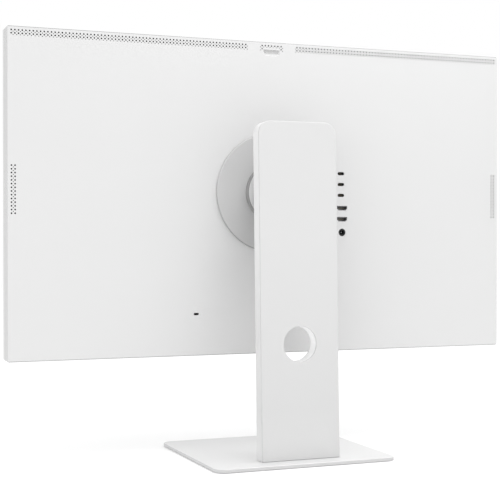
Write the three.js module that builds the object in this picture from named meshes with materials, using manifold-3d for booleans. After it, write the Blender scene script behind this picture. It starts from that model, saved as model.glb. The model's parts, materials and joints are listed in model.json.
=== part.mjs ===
// All-in-one desktop computer: a flat white cabinet with the screen in front and the computer inside,
// carried by a sliding and tilting arm on a thin leaning column and a flat base plate.
// Millimetres. The origin is the middle of the base's footprint on the desk, +Z is up,
// the screen faces -Y and +X is the cabinet's left side as seen from behind.

import * as THREE from 'three';
import { mergeVertices } from 'three/addons/utils/BufferGeometryUtils.js';
import Module from 'manifold-3d';

const wasm = await Module();
wasm.setup();

// ---- Driving dimensions ----

// Cabinet
const CABINET_WIDTH = 714;
const CABINET_HEIGHT = 420.4;
const CABINET_DEPTH = 29;
const CABINET_CORNER = 2.5;
const CABINET_REAR_Y = -11.6;
const CABINET_CENTRE_Z = 343.9;
const COVER_WALL = 2.2;
const COVER_DEPTH = 19.7;
const FRAME_WALL = 1.4;
const EDGE_BEVEL = 1.2;
const LEDGE_WIDTH = 7;
const LEDGE_Y = [-27.1, -25.6];

// Base plate and feet
const BASE_WIDTH = 249;
const BASE_DEPTH = 228.6;
const BASE_CORNER = 14;
const BASE_BOTTOM = 0.5;
const BASE_TOP = 5.2;
const BASE_BEVEL = 1;
const FOOT_RADIUS = 10;
const FOOT_HEIGHT = 0.9;
const FOOT_INSET = 20;

// Thumb screw that holds the column to the base
const SCREW_Y = -12;
const SCREW_HEAD_RADIUS = 8.5;
const SCREW_HEAD_Z = [1.4, 3.2];
const SCREW_SHANK_RADIUS = 2.9;
const SCREW_SLOT = { length: 14, width: 1.6, top: 2.2 };

// Column, in its own leaning frame: y = 0 is the rear face and z = 0 the top of the base
const COLUMN_WIDTH = 108;
const COLUMN_DEPTH = 21.5;
const COLUMN_LENGTH = 434;
const COLUMN_CORNER = 16;
const COLUMN_REAR_Y = 88.2;
const COLUMN_LEAN = THREE.MathUtils.degToRad(1.7);
const COLUMN_WALL = 2.2;
const COLUMN_FOOT_GAP = 0.95;
const BACK_THICKNESS = 3;
const CABLE_HOLE_RADIUS = 23;
const CABLE_HOLE_Z = 148;
const SLOT_HALF_WIDTH = 22;
const SLOT_BOTTOM = 246;
const SLOT_TOP = 404;

// Inside the column
const SPINE_Y = [-7.5, -5];
const SPINE_Z = [1.6, 418];
const SPINE_HALF_WIDTH = 46;
const RAIL_X = 41;
const RAIL_Y = -13.5;
const RAIL_SIZE = 6;
const RAIL_Z = [226, 414];
const SLIDE_PLATE_Y = [-15, -12];
const SLIDE_PLATE_SIZE = { width: 60, height: 80 };
const SHOE_X = [30.3, 47];
const SHOE_THICKNESS = 10.4;
const SHOE_HEIGHT = 44;
const SHOE_PLAY = 0.4;
const COIL_RADIUS = 5.2;
const COIL_DROP = 48;
const COIL_X = [7, 20.4];
const COIL_Y = -13.7;

// Tilt hinge
const HINGE_Y = 24;
const HINGE_Z = 350.5;
const PIN_RADIUS = 4.7;
const PIN_HOLE_RADIUS = 5;
const NUT_RADIUS = 7.5;
const KNUCKLE_RADIUS = 11;
const KNUCKLE_X = 8;
const WASHER_X = [8.3, 9.3];
const EAR_X = [9.6, 14.6];
const EAR_RADIUS = 10;
const NUT_X = [23.4, 26.4];
const SPRING = { start: 15.8, radius: 6.6, wire: 0.8, pitch: 1.95, turns: 3.5 };
const COVER_SIZE = { width: 60, height: 42, corner: 8, wall: 2 };

// Round mount on the rear cover
const DISC_RADIUS = 80;
const DISC_THICKNESS = 3;
const HUB_RADIUS = 39;
const HUB_REAR = 11;
const RING_WIDTH = 1.6;

// Sockets, along one upright line on the rear cover
const PORT_X = -105.8;
const DATA_PORT_X = -104;
const DATA_PORT_Z = [34.7, 19.7, 4.7];
const VIDEO_PORT_Z = [-13.1, -28.4];
const DC_INLET_Z = -46.7;
const DATA_PORT = { width: 8.94, height: 3.26, wall: 0.3, corner: 1.6, depth: 8 };
const DATA_TONGUE = { width: 6.7, height: 0.7, setBack: 1 };
const VIDEO_PORT = { width: 15, height: 5.6, wall: 0.5, chamfer: 2.2, depth: 9 };
const VIDEO_MOUTH_CHAMFER = 2;
const VIDEO_TONGUE = { width: 11, height: 1.2, setBack: 1.2, rise: 0.3 };
const DC_RADIUS = 5;
const DC_MOUTH = { radius: 3.3, depth: 10 };
const DC_PIN = { radius: 0.9, setBack: 1.5, sides: 12 };
const TONGUE_ROOT = 1;
const PORT_CLEARANCE = 0.3;
const DATA_PORT_CLEARANCE = 0.55;
const PORT_FRONT = -12.1;
const PORT_REAR = -0.6;

// Lock slot and camera dock
const LOCK_X = 107.8;
const LOCK_Z = -155.2;
const LOCK_SLOT = { width: 7, height: 3, corner: 0.6 };
const DOCK_HALF_WIDTH = 12.1;
const DOCK_TOP = 200;
const DOCK_HEIGHT = 8.3;
const SCOOP_RADIUS = 10;

// Power button in the bottom edge
const BUTTON_Y = -9.5;
const BUTTON_LENGTH = 15.2;
const BUTTON_WIDTH = 5.2;
const BUTTON_PROUD = 0.8;
const BUTTON_CLEARANCE = 0.4;
const BUTTON_LIP = 1.9;

// Screen layers, front to rear: depth, width and height
const CELL = { y: [-25.3, -23.5], width: 704, height: 408 };
const LIGHT_GUIDE = { y: [-23.2, -18.7], width: 702, height: 398 };
const TRAY = { y: [-23.3, -17.4], width: 707, height: 411, wall: 1 };

// Electronics and cooling
const BOARD_X = [-125, 64];
const BOARD_Y = [-14, -12.4];
const BOARD_Z = [-75, 105];
const CHIP_X = [-60, 20];
const HEAT_PIPE_Z = [92, 99];
const FIN = { count: 16, pitch: 4, thickness: 0.8, z: [90, 118] };
const BLOWER_X = 96;
const BLOWER_Z = 56;
const BLOWER_Y = [-13.6, -3];
const WHEEL_RADIUS = 24;
const WHEEL_HUB_RADIUS = 10;
const WHEEL_BLADES = 13;

// Speakers, antennas and the dust meshes behind the air holes
const SPEAKER_X = [322, 353.5];
const SPEAKER_Z = [-45, 55];
const MESH_Y = [-3.3, -2.5];
const MESH_END = 354;
const ANTENNA_X = [240, 285];

// Clearance left between pieces that touch
const GAP = 0.3;
const ROUND = 24;
const FINE = 48;

// ---- Materials ----

const finish = (color, roughness, metalness = 0) => ({ color, roughness, metalness });
const FINISHES = {
  whiteCover: finish(0xeceded, 0.5),
  whiteColumn: finish(0xe9eaea, 0.45),
  whiteBase: finish(0xe8e9e9, 0.4),
  silverDisc: finish(0xc9cacb, 0.4, 0.3),
  silverRing: finish(0x9c9d9f, 0.5, 0.3),
  silverFrame: finish(0xd9dadb, 0.4, 0.3),
  glass: finish(0x0a0b0d, 0.1),
  panel: finish(0x15171b, 0.3),
  lightSheet: finish(0xf3f3ee, 0.6),
  board: finish(0x1f5a3a, 0.6),
  steel: finish(0xa9adb0, 0.35, 1),
  copper: finish(0xb87345, 0.35, 1),
  blackPlastic: finish(0x1c1d1f, 0.6),
  darkMesh: finish(0x3a3b3d, 0.8),
  rubber: finish(0x2a2a2b, 0.9),
  acetal: finish(0xdad9d3, 0.5),
};

// ---- Solids ----

function solid(geometry) {
  geometry.deleteAttribute('normal');
  geometry.deleteAttribute('uv');
  const merged = mergeVertices(geometry, 1e-4);
  return new wasm.Manifold(new wasm.Mesh({
    numProp: 3,
    vertProperties: new Float32Array(merged.attributes.position.array),
    triVerts: new Uint32Array(merged.index.array),
  }));
}

function box([x0, x1], [y0, y1], [z0, z1]) {
  const geometry = new THREE.BoxGeometry(x1 - x0, y1 - y0, z1 - z0);
  geometry.translate((x0 + x1) / 2, (y0 + y1) / 2, (z0 + z1) / 2);
  return solid(geometry);
}

const span = (centre, length) => [centre - length / 2, centre + length / 2];

function rodX(radius, [x0, x1], y, z, segments = ROUND) {
  const geometry = new THREE.CylinderGeometry(radius, radius, x1 - x0, segments);
  geometry.rotateZ(Math.PI / 2).translate((x0 + x1) / 2, y, z);
  return solid(geometry);
}

function rodY(radius, x, [y0, y1], z, segments = ROUND) {
  const geometry = new THREE.CylinderGeometry(radius, radius, y1 - y0, segments);
  geometry.translate(x, (y0 + y1) / 2, z);
  return solid(geometry);
}

function rodZ(radius, x, y, [z0, z1], segments = ROUND) {
  const geometry = new THREE.CylinderGeometry(radius, radius, z1 - z0, segments);
  geometry.rotateX(Math.PI / 2).translate(x, y, (z0 + z1) / 2);
  return solid(geometry);
}

// An outline in X and Z made into a plate from y0 (front) to y1 (rear)
function plate(shape, [y0, y1], bevel = 0, curveSegments = 4) {
  const geometry = new THREE.ExtrudeGeometry(shape, {
    depth: y1 - y0 - 2 * bevel,
    bevelEnabled: bevel > 0,
    bevelThickness: bevel,
    bevelSize: bevel,
    bevelOffset: -bevel,
    bevelSegments: 1,
    curveSegments,
  });
  geometry.rotateX(Math.PI / 2).translate(0, y1 - bevel, 0);
  return solid(geometry);
}

// A disc or ring about a line along Y: profile points are [radius, y]
function turned(profile, x, z, segments = FINE) {
  const points = profile.map(([radius, y]) => new THREE.Vector2(radius, y));
  const geometry = new THREE.LatheGeometry(points, segments);
  geometry.translate(x, 0, z);
  return solid(geometry);
}

const join = (first, ...others) => others.reduce((body, other) => body.add(other), first);
const cut = (first, ...others) => others.reduce((body, other) => body.subtract(other), first);

// ---- Outlines ----

function roundedRectangle(width, height, radius, x = 0, z = 0) {
  const [left, right] = span(x, width);
  const [low, high] = span(z, height);
  const shape = new THREE.Shape();
  shape.moveTo(right - radius, low);
  shape.absarc(right - radius, low + radius, radius, -Math.PI / 2, 0, false);
  shape.absarc(right - radius, high - radius, radius, 0, Math.PI / 2, false);
  shape.absarc(left + radius, high - radius, radius, Math.PI / 2, Math.PI, false);
  shape.absarc(left + radius, low + radius, radius, Math.PI, 1.5 * Math.PI, false);
  shape.closePath();
  return shape;
}

// The column's outline: square at the foot, rounded at the top
function columnOutline(inset = 0, foot = COLUMN_FOOT_GAP) {
  const half = COLUMN_WIDTH / 2 - inset;
  const top = COLUMN_LENGTH - inset;
  const radius = COLUMN_CORNER - inset;
  const shape = new THREE.Shape();
  shape.moveTo(-half, foot);
  shape.lineTo(half, foot);
  shape.absarc(half - radius, top - radius, radius, 0, Math.PI / 2, false);
  shape.absarc(-half + radius, top - radius, radius, Math.PI / 2, Math.PI, false);
  shape.closePath();
  return shape;
}

// The video socket's outline: a rectangle with its two lower corners cut off
function videoOutline(width, height, chamfer, z) {
  const half = width / 2;
  const [low, high] = span(z, height);
  const shape = new THREE.Shape();
  shape.moveTo(PORT_X - half + chamfer, low);
  shape.lineTo(PORT_X + half - chamfer, low);
  shape.lineTo(PORT_X + half, low + chamfer);
  shape.lineTo(PORT_X + half, high);
  shape.lineTo(PORT_X - half, high);
  shape.lineTo(PORT_X - half, low + chamfer);
  shape.closePath();
  return shape;
}

const lockOutline = () => (
  roundedRectangle(LOCK_SLOT.width, LOCK_SLOT.height, LOCK_SLOT.corner, LOCK_X, LOCK_Z)
);

// The camera dock's window: straight along the top, rounded along the bottom
function dockOutline() {
  const half = DOCK_HALF_WIDTH;
  const low = DOCK_TOP - DOCK_HEIGHT;
  const shape = new THREE.Shape();
  shape.moveTo(-half, DOCK_TOP);
  shape.bezierCurveTo(-half, low, -half * 0.6, low, 0, low);
  shape.bezierCurveTo(half * 0.6, low, half, low, half, DOCK_TOP);
  shape.closePath();
  return shape;
}

// ---- Scene graph ----

const computer = new THREE.Group();

const column = new THREE.Group();
column.position.set(0, COLUMN_REAR_Y, BASE_TOP);
column.rotation.x = COLUMN_LEAN;
computer.add(column);

const cabinet = new THREE.Group();
cabinet.position.set(0, CABINET_REAR_Y, CABINET_CENTRE_Z);
computer.add(cabinet);

function piece(group, name, body, look) {
  const { vertProperties, triVerts } = body.getMesh();
  const geometry = new THREE.BufferGeometry();
  geometry.setAttribute('position', new THREE.BufferAttribute(vertProperties, 3));
  geometry.setIndex(new THREE.BufferAttribute(triVerts, 1));
  geometry.computeVertexNormals();
  const mesh = new THREE.Mesh(geometry, new THREE.MeshStandardMaterial(look));
  mesh.name = name;
  group.add(mesh);
}

const SIDES = [['left', 1], ['right', -1]];
const mirrorSpan = (side, a, b) => (side > 0 ? [a, b] : [-b, -a]);

// The hinge axis in the column's leaning frame and in the cabinet's frame
const hingeDY = HINGE_Y - COLUMN_REAR_Y;
const hingeDZ = HINGE_Z - BASE_TOP;
const ARM_Y = hingeDY * Math.cos(COLUMN_LEAN) + hingeDZ * Math.sin(COLUMN_LEAN);
const ARM_Z = hingeDZ * Math.cos(COLUMN_LEAN) - hingeDY * Math.sin(COLUMN_LEAN);
const TILT_Y = HINGE_Y - CABINET_REAR_Y;
const TILT_Z = HINGE_Z - CABINET_CENTRE_Z;

// ---- Base ----

const screwWorldY = COLUMN_REAR_Y + SCREW_Y;
const footPlaces = SIDES.flatMap(([side, sign]) => [['rear', 1], ['front', -1]].map(([end, direction]) => ({
  name: `foot_${end}_${side}`,
  x: sign * (BASE_WIDTH / 2 - FOOT_INSET),
  y: direction * (BASE_DEPTH / 2 - FOOT_INSET),
})));

function basePlate() {
  const geometry = new THREE.ExtrudeGeometry(roundedRectangle(BASE_WIDTH, BASE_DEPTH, BASE_CORNER), {
    depth: BASE_TOP - BASE_BOTTOM - 2 * BASE_BEVEL,
    bevelThickness: BASE_BEVEL,
    bevelSize: BASE_BEVEL,
    bevelOffset: -BASE_BEVEL,
    bevelSegments: 1,
    curveSegments: 6,
  });
  geometry.translate(0, 0, BASE_BOTTOM + BASE_BEVEL);
  const shankHole = rodZ(SCREW_SHANK_RADIUS + 0.4, 0, screwWorldY, [0, 10]);
  const headHole = rodZ(SCREW_HEAD_RADIUS + 0.5, 0, screwWorldY, [0, SCREW_HEAD_Z[1] + GAP]);
  const footRecesses = footPlaces.map(({ x, y }) => rodZ(FOOT_RADIUS + GAP, x, y, [0, FOOT_HEIGHT + GAP]));
  const body = cut(solid(geometry), shankHole, headHole, ...footRecesses);
  piece(computer, 'base_plate', body, FINISHES.whiteBase);
}

function feet() {
  for (const { name, x, y } of footPlaces) {
    piece(computer, name, rodZ(FOOT_RADIUS, x, y, [0, FOOT_HEIGHT]), FINISHES.rubber);
  }
}

function baseScrew() {
  const head = rodZ(SCREW_HEAD_RADIUS, 0, screwWorldY, SCREW_HEAD_Z);
  const { length, width, top } = SCREW_SLOT;
  const coinSlot = box(span(0, length), span(screwWorldY, width), [1, top]);
  const shank = rodZ(SCREW_SHANK_RADIUS, 0, screwWorldY, [SCREW_HEAD_Z[1] - 0.2, 12]);
  piece(computer, 'base_screw', join(cut(head, coinSlot), shank), FINISHES.steel);
}

// ---- Column ----

const cableBore = (radius) => rodY(radius, 0, [-COLUMN_DEPTH - 5, 5], CABLE_HOLE_Z, FINE);

function columnShells() {
  const front = -COLUMN_DEPTH;
  const seam = -BACK_THICKNESS;
  const outer = plate(columnOutline(), [front, seam + 4], EDGE_BEVEL);
  const behindSeam = box([-80, 80], [seam - GAP, 10], [-10, COLUMN_LENGTH + 10]);
  const hollow = plate(columnOutline(COLUMN_WALL, -10), [front + COLUMN_WALL, 10]);
  const slot = box([-SLOT_HALF_WIDTH, SLOT_HALF_WIDTH], [front - 5, front + 5], [SLOT_BOTTOM, SLOT_TOP]);
  const shell = cut(outer, behindSeam, hollow, slot, cableBore(CABLE_HOLE_RADIUS));
  piece(column, 'column_front', shell, FINISHES.whiteColumn);

  const back = plate(columnOutline(), [seam, 0], 0.8);
  piece(column, 'column_back', cut(back, cableBore(CABLE_HOLE_RADIUS)), FINISHES.whiteColumn);
}

function cableRing() {
  const front = -COLUMN_DEPTH + COLUMN_WALL + GAP;
  const rear = -BACK_THICKNESS - GAP;
  const outer = rodY(CABLE_HOLE_RADIUS + 2, 0, [front, rear], CABLE_HOLE_Z, FINE);
  piece(column, 'cable_ring', cut(outer, cableBore(CABLE_HOLE_RADIUS)), FINISHES.whiteColumn);
}

function spine() {
  const across = [-SPINE_HALF_WIDTH, SPINE_HALF_WIDTH];
  const sheet = box(across, SPINE_Y, SPINE_Z);
  const flange = box(across, [-19, SPINE_Y[1]], [SPINE_Z[0], SPINE_Z[0] + 3]);
  const screwHole = rodZ(SCREW_SHANK_RADIUS + 0.6, 0, SCREW_Y, [0, 8]);
  const body = cut(join(sheet, flange), cableBore(CABLE_HOLE_RADIUS + 4), screwHole);
  piece(column, 'column_spine', body, FINISHES.steel);
}

function rails() {
  for (const [side, sign] of SIDES) {
    const across = span(sign * RAIL_X, RAIL_SIZE);
    const rail = box(across, span(RAIL_Y, RAIL_SIZE), RAIL_Z);
    const standoffs = [RAIL_Z[0], RAIL_Z[1] - RAIL_SIZE].map((z) => (
      box(across, [RAIL_Y, SPINE_Y[0] - GAP], [z, z + RAIL_SIZE])
    ));
    piece(column, `rail_${side}`, join(rail, ...standoffs), FINISHES.steel);
  }
}

// ---- Carriage and arm, sliding along the column ----

const coilZ = ARM_Z - COIL_DROP;

function carriage() {
  const { width, height } = SLIDE_PLATE_SIZE;
  const sheet = box(span(0, width), SLIDE_PLATE_Y, span(ARM_Z, height));
  const neck = box([-18, 18], [ARM_Y + 18, SLIDE_PLATE_Y[1]], span(ARM_Z, 28));
  const inset = COVER_SIZE.wall + GAP;
  const collar = plate(roundedRectangle(
    COVER_SIZE.width - 2 * inset,
    COVER_SIZE.height - 2 * inset,
    COVER_SIZE.corner - inset,
    0,
    ARM_Z,
  ), [-31, -25]);
  const tongue = box([-KNUCKLE_X, KNUCKLE_X], [ARM_Y, ARM_Y + 20], span(ARM_Z, 2 * KNUCKLE_RADIUS));
  const knuckle = rodX(KNUCKLE_RADIUS, [-KNUCKLE_X, KNUCKLE_X], ARM_Y, ARM_Z);
  const bore = rodX(PIN_HOLE_RADIUS + GAP, [-20, 20], ARM_Y, ARM_Z);
  const coilArms = SIDES.map(([, sign]) => (
    box(mirrorSpan(sign, 21, 24), SLIDE_PLATE_Y, [coilZ - 4, ARM_Z - height / 2 + 2])
  ));
  const body = join(sheet, neck, collar, tongue, knuckle, ...coilArms);
  piece(column, 'carriage', cut(body, bore), FINISHES.steel);
}

function sliderShoes() {
  const clear = RAIL_SIZE + 2 * SHOE_PLAY;
  for (const [side, sign] of SIDES) {
    const shoe = box(mirrorSpan(sign, ...SHOE_X), span(RAIL_Y, SHOE_THICKNESS), span(ARM_Z, SHOE_HEIGHT));
    const groove = box(span(sign * RAIL_X, clear), span(RAIL_Y, clear), span(ARM_Z, SHOE_HEIGHT + 10));
    piece(column, `slider_shoe_${side}`, cut(shoe, groove), FINISHES.acetal);
  }
}

function liftSprings() {
  for (const [side, sign] of SIDES) {
    const coil = rodX(COIL_RADIUS, mirrorSpan(sign, ...COIL_X), COIL_Y, coilZ);
    piece(column, `lift_coil_${side}`, coil, FINISHES.steel);
  }
}

function hingeCover() {
  const { width, height, corner, wall } = COVER_SIZE;
  const reach = [ARM_Y - 12, -COLUMN_DEPTH - 2];
  const outer = plate(roundedRectangle(width, height, corner, 0, ARM_Z), reach, 1);
  const inner = plate(
    roundedRectangle(width - 2 * wall, height - 2 * wall, corner - wall, 0, ARM_Z),
    [reach[0] - 5, reach[1] + 5],
  );
  piece(column, 'hinge_cover', cut(outer, inner), FINISHES.whiteColumn);
}

function frictionWashers() {
  for (const [side, sign] of SIDES) {
    const washer = cut(
      rodX(EAR_RADIUS, mirrorSpan(sign, ...WASHER_X), ARM_Y, ARM_Z),
      rodX(PIN_HOLE_RADIUS + GAP, [-20, 20], ARM_Y, ARM_Z),
    );
    piece(column, `friction_washer_${side}`, washer, FINISHES.steel);
  }
}

// ---- Tilt hinge, on the cabinet's side ----

function tiltBracket() {
  const foot = HUB_REAR + GAP;
  const flange = rodY(26, 0, [foot, foot + 4], TILT_Z);
  const ears = SIDES.map(([, sign]) => {
    const across = mirrorSpan(sign, ...EAR_X);
    const web = box(across, [foot + 1, TILT_Y], span(TILT_Z, 2 * EAR_RADIUS));
    return join(web, rodX(EAR_RADIUS, across, TILT_Y, TILT_Z));
  });
  const bore = rodX(PIN_HOLE_RADIUS, [-30, 30], TILT_Y, TILT_Z);
  piece(cabinet, 'tilt_bracket', cut(join(flange, ...ears), bore), FINISHES.steel);
}

function hingePin() {
  const pin = rodX(PIN_RADIUS, [-27, 27], TILT_Y, TILT_Z);
  piece(cabinet, 'hinge_pin', pin, FINISHES.steel);
  for (const [side, sign] of SIDES) {
    const nut = cut(
      rodX(NUT_RADIUS, mirrorSpan(sign, ...NUT_X), TILT_Y, TILT_Z, 6),
      rodX(PIN_HOLE_RADIUS, [-30, 30], TILT_Y, TILT_Z),
    );
    piece(cabinet, `hinge_nut_${side}`, nut, FINISHES.steel);
  }
}

// The centre line of a helical torsion spring along the hinge pin
class Helix extends THREE.Curve {
  constructor(radius, pitch, turns) {
    super();
    Object.assign(this, { radius, pitch, turns });
  }

  getPoint(t, target = new THREE.Vector3()) {
    const angle = t * this.turns * 2 * Math.PI;
    const { radius, pitch, turns } = this;
    return target.set(t * turns * pitch, radius * Math.cos(angle), radius * Math.sin(angle));
  }
}

function torsionSprings() {
  const { radius, wire, pitch, turns } = SPRING;
  const section = new THREE.Shape().absarc(0, 0, wire, 0, 2 * Math.PI, false);
  for (const [side, sign] of SIDES) {
    const geometry = new THREE.ExtrudeGeometry(section, {
      extrudePath: new Helix(radius, pitch, turns),
      steps: 42,
      curveSegments: 3,
    });
    const start = sign > 0 ? SPRING.start : -SPRING.start - turns * pitch;
    geometry.translate(start, TILT_Y, TILT_Z);
    piece(cabinet, `torsion_spring_${side}`, solid(geometry), FINISHES.steel);
  }
}

// ---- Round mount ----

function roundMount() {
  const disc = turned([
    [0, GAP],
    [DISC_RADIUS, GAP],
    [DISC_RADIUS, GAP + DISC_THICKNESS - EDGE_BEVEL],
    [DISC_RADIUS - EDGE_BEVEL, GAP + DISC_THICKNESS],
    [0, GAP + DISC_THICKNESS],
  ], 0, TILT_Z, 96);
  piece(cabinet, 'mount_disc', disc, FINISHES.silverDisc);

  const hubFront = GAP + DISC_THICKNESS + GAP;
  const ringInner = HUB_RADIUS - RING_WIDTH;
  const ring = turned([
    [ringInner, hubFront],
    [HUB_RADIUS, hubFront],
    [HUB_RADIUS, HUB_REAR - 0.6],
    [ringInner, HUB_REAR - 0.6],
    [ringInner, hubFront],
  ], 0, TILT_Z);
  piece(cabinet, 'hub_ring', ring, FINISHES.silverRing);

  const hubRadius = ringInner - GAP;
  const hub = turned([
    [0, hubFront],
    [hubRadius, hubFront],
    [hubRadius, HUB_REAR - 0.6],
    [hubRadius - 0.6, HUB_REAR],
    [0, HUB_REAR],
  ], 0, TILT_Z);
  piece(cabinet, 'mount_hub', hub, FINISHES.silverDisc);
}

function mountPlate() {
  const outline = roundedRectangle(120, 120, 8, 0, TILT_Z);
  const rear = -COVER_WALL - GAP;
  piece(cabinet, 'mount_plate', plate(outline, [rear - 2, rear]), FINISHES.steel);
}

// ---- Cabinet shells ----

const HALF_WIDTH = CABINET_WIDTH / 2;
const HALF_HEIGHT = CABINET_HEIGHT / 2;
const outlineInside = (inset) => roundedRectangle(
  CABINET_WIDTH - 2 * inset,
  CABINET_HEIGHT - 2 * inset,
  Math.max(CABINET_CORNER - inset, 0.8),
);

function rearCover() {
  const outer = plate(outlineInside(0), [-COVER_DEPTH - 6, 0], EDGE_BEVEL);
  const front = box([-400, 400], [-40, -COVER_DEPTH], [-250, 250]);
  const hollow = plate(outlineInside(COVER_WALL), [-40, -COVER_WALL]);
  const dataHoles = DATA_PORT_Z.map((z) => plate(roundedRectangle(
    DATA_PORT.width + 2 * DATA_PORT_CLEARANCE,
    DATA_PORT.height + 2 * DATA_PORT_CLEARANCE,
    DATA_PORT.corner + DATA_PORT_CLEARANCE,
    DATA_PORT_X,
    z,
  ), [-5, 5]));
  const videoHoles = VIDEO_PORT_Z.map((z) => plate(videoOutline(
    VIDEO_PORT.width + 2 * PORT_CLEARANCE,
    VIDEO_PORT.height + 2 * PORT_CLEARANCE,
    VIDEO_PORT.chamfer,
    z,
  ), [-5, 5]));
  const dcHole = rodY(DC_RADIUS + PORT_CLEARANCE, PORT_X, [-5, 5], DC_INLET_Z);
  const lockHole = plate(lockOutline(), [-5, 5]);
  const dockHole = plate(dockOutline(), [-5, 5]);
  const buttonHole = box(
    span(0, BUTTON_LENGTH + 2 * BUTTON_CLEARANCE),
    span(BUTTON_Y, BUTTON_WIDTH + 2 * BUTTON_CLEARANCE),
    [-HALF_HEIGHT - 5, -HALF_HEIGHT + 5],
  );
  const body = cut(
    outer, front, hollow, ...dataHoles, ...videoHoles, dcHole, lockHole, dockHole, buttonHole,
  );
  piece(cabinet, 'rear_cover', body, FINISHES.whiteCover);
}

function frontFrame() {
  const outer = plate(outlineInside(0), [-CABINET_DEPTH, -COVER_DEPTH + 4], 0.6);
  const behind = box([-400, 400], [-COVER_DEPTH - GAP, 10], [-250, 250]);
  const opening = plate(outlineInside(FRAME_WALL), [-40, 10]);
  const ledge = plate(outlineInside(FRAME_WALL - 0.4), LEDGE_Y);
  const window = plate(outlineInside(FRAME_WALL + LEDGE_WIDTH), [-40, 10]);
  const body = join(cut(outer, behind, opening), cut(ledge, window));
  piece(cabinet, 'front_frame', body, FINISHES.silverFrame);
}

// ---- Screen ----

function screen() {
  const glass = plate(outlineInside(FRAME_WALL + GAP), [-CABINET_DEPTH, LEDGE_Y[0] - GAP]);
  piece(cabinet, 'screen_glass', glass, FINISHES.glass);

  const layer = ({ y, width, height }) => box(span(0, width), y, span(0, height));
  piece(cabinet, 'lcd_cell', layer(CELL), FINISHES.panel);
  piece(cabinet, 'light_guide', layer(LIGHT_GUIDE), FINISHES.lightSheet);

  const barTop = -LIGHT_GUIDE.height / 2 - 0.4;
  const bar = box(span(0, 690), [LIGHT_GUIDE.y[1] - 3, LIGHT_GUIDE.y[1]], [barTop - 4.2, barTop]);
  piece(cabinet, 'light_bar', bar, FINISHES.board);

  const { y, width, height, wall } = TRAY;
  const well = box(span(0, width - 2 * wall), [y[0] - 5, y[1] - wall], span(0, height - 2 * wall));
  piece(cabinet, 'panel_tray', cut(layer(TRAY), well), FINISHES.steel);
}

// ---- Electronics ----

const onBoard = BOARD_Y[1] + GAP;

function mainBoard() {
  piece(cabinet, 'main_board', box(BOARD_X, BOARD_Y, BOARD_Z), FINISHES.board);
  const card = box(CHIP_X, [onBoard, onBoard + 2.4], [-62, -40]);
  piece(cabinet, 'storage_card', card, FINISHES.board);
}

// A copper block on the main chip, its heat pipe and the fins at the blower's outlet
function cooling() {
  const finX = BLOWER_X - (FIN.count / 2) * FIN.pitch + FIN.pitch / 2;
  const finBase = [finX - 1, finX + (FIN.count - 1) * FIN.pitch + 1];
  const block = box(CHIP_X, [onBoard, onBoard + 2.1], [30, HEAT_PIPE_Z[1]]);
  const pipe = box([-50, finBase[1]], [-11, -7.5], HEAT_PIPE_Z);
  const base = box(finBase, [-8, -6.6], FIN.z);
  const fins = Array.from({ length: FIN.count }, (_, index) => (
    box(span(finX + index * FIN.pitch, FIN.thickness), [-7, BLOWER_Y[1]], FIN.z)
  ));
  piece(cabinet, 'heat_sink', join(block, pipe, base, ...fins), FINISHES.copper);
}

function blower() {
  const [front, rear] = BLOWER_Y;
  const inside = [front + 1, rear - 1];
  const side = 2 * (WHEEL_RADIUS + 5);
  const casing = box(span(BLOWER_X, side), BLOWER_Y, span(BLOWER_Z, side - 4));
  const chamber = rodY(WHEEL_RADIUS + 2, BLOWER_X, inside, BLOWER_Z, FINE);
  const inlet = rodY(WHEEL_RADIUS - 6, BLOWER_X, [inside[1] - 4, rear + 5], BLOWER_Z);
  const outlet = box([BLOWER_X - 18, BLOWER_X + 25], inside, [BLOWER_Z + 6, BLOWER_Z + 66]);
  piece(cabinet, 'blower_housing', cut(casing, chamber, inlet, outlet), FINISHES.blackPlastic);

  const wheel = [inside[0] + 0.5, inside[1] - 0.8];
  const hub = rodY(WHEEL_HUB_RADIUS, BLOWER_X, wheel, BLOWER_Z);
  const disc = rodY(WHEEL_RADIUS, BLOWER_X, [wheel[0], wheel[0] + 1], BLOWER_Z);
  const blades = Array.from({ length: WHEEL_BLADES }, (_, index) => (
    box([WHEEL_HUB_RADIUS - 1, WHEEL_RADIUS - 0.5], [wheel[0] + 0.8, wheel[1]], [-0.5, 0.5])
      .rotate([0, (360 / WHEEL_BLADES) * index, 0])
      .translate([BLOWER_X, 0, BLOWER_Z])
  ));
  piece(cabinet, 'blower_wheel', join(hub, disc, ...blades), FINISHES.blackPlastic);
}

function speakers() {
  for (const [side, sign] of SIDES) {
    const enclosure = box(mirrorSpan(sign, ...SPEAKER_X), [-15.5, -4], SPEAKER_Z);
    piece(cabinet, `speaker_${side}`, enclosure, FINISHES.blackPlastic);
    const mesh = box(mirrorSpan(sign, MESH_END - 10.5, MESH_END), MESH_Y, [-28, 40]);
    piece(cabinet, `side_mesh_${side}`, mesh, FINISHES.darkMesh);
  }
}

function topMeshes() {
  for (const [side, sign] of SIDES) {
    const mesh = box(mirrorSpan(sign, 31, MESH_END), MESH_Y, [196, 207.6]);
    piece(cabinet, `top_mesh_${side}`, mesh, FINISHES.darkMesh);
  }
}

function antennas() {
  for (const [side, sign] of SIDES) {
    const strip = box(mirrorSpan(sign, ...ANTENNA_X), [-9, -8], [-206, -197]);
    piece(cabinet, `antenna_${side}`, strip, FINISHES.board);
  }
}

// ---- Sockets ----

// The tongue or pin of a socket: from inside the floor of its mouth to its tip
function tongueReach(depth, setBack) {
  return [PORT_REAR - depth - TONGUE_ROOT, PORT_REAR - setBack];
}

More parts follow.
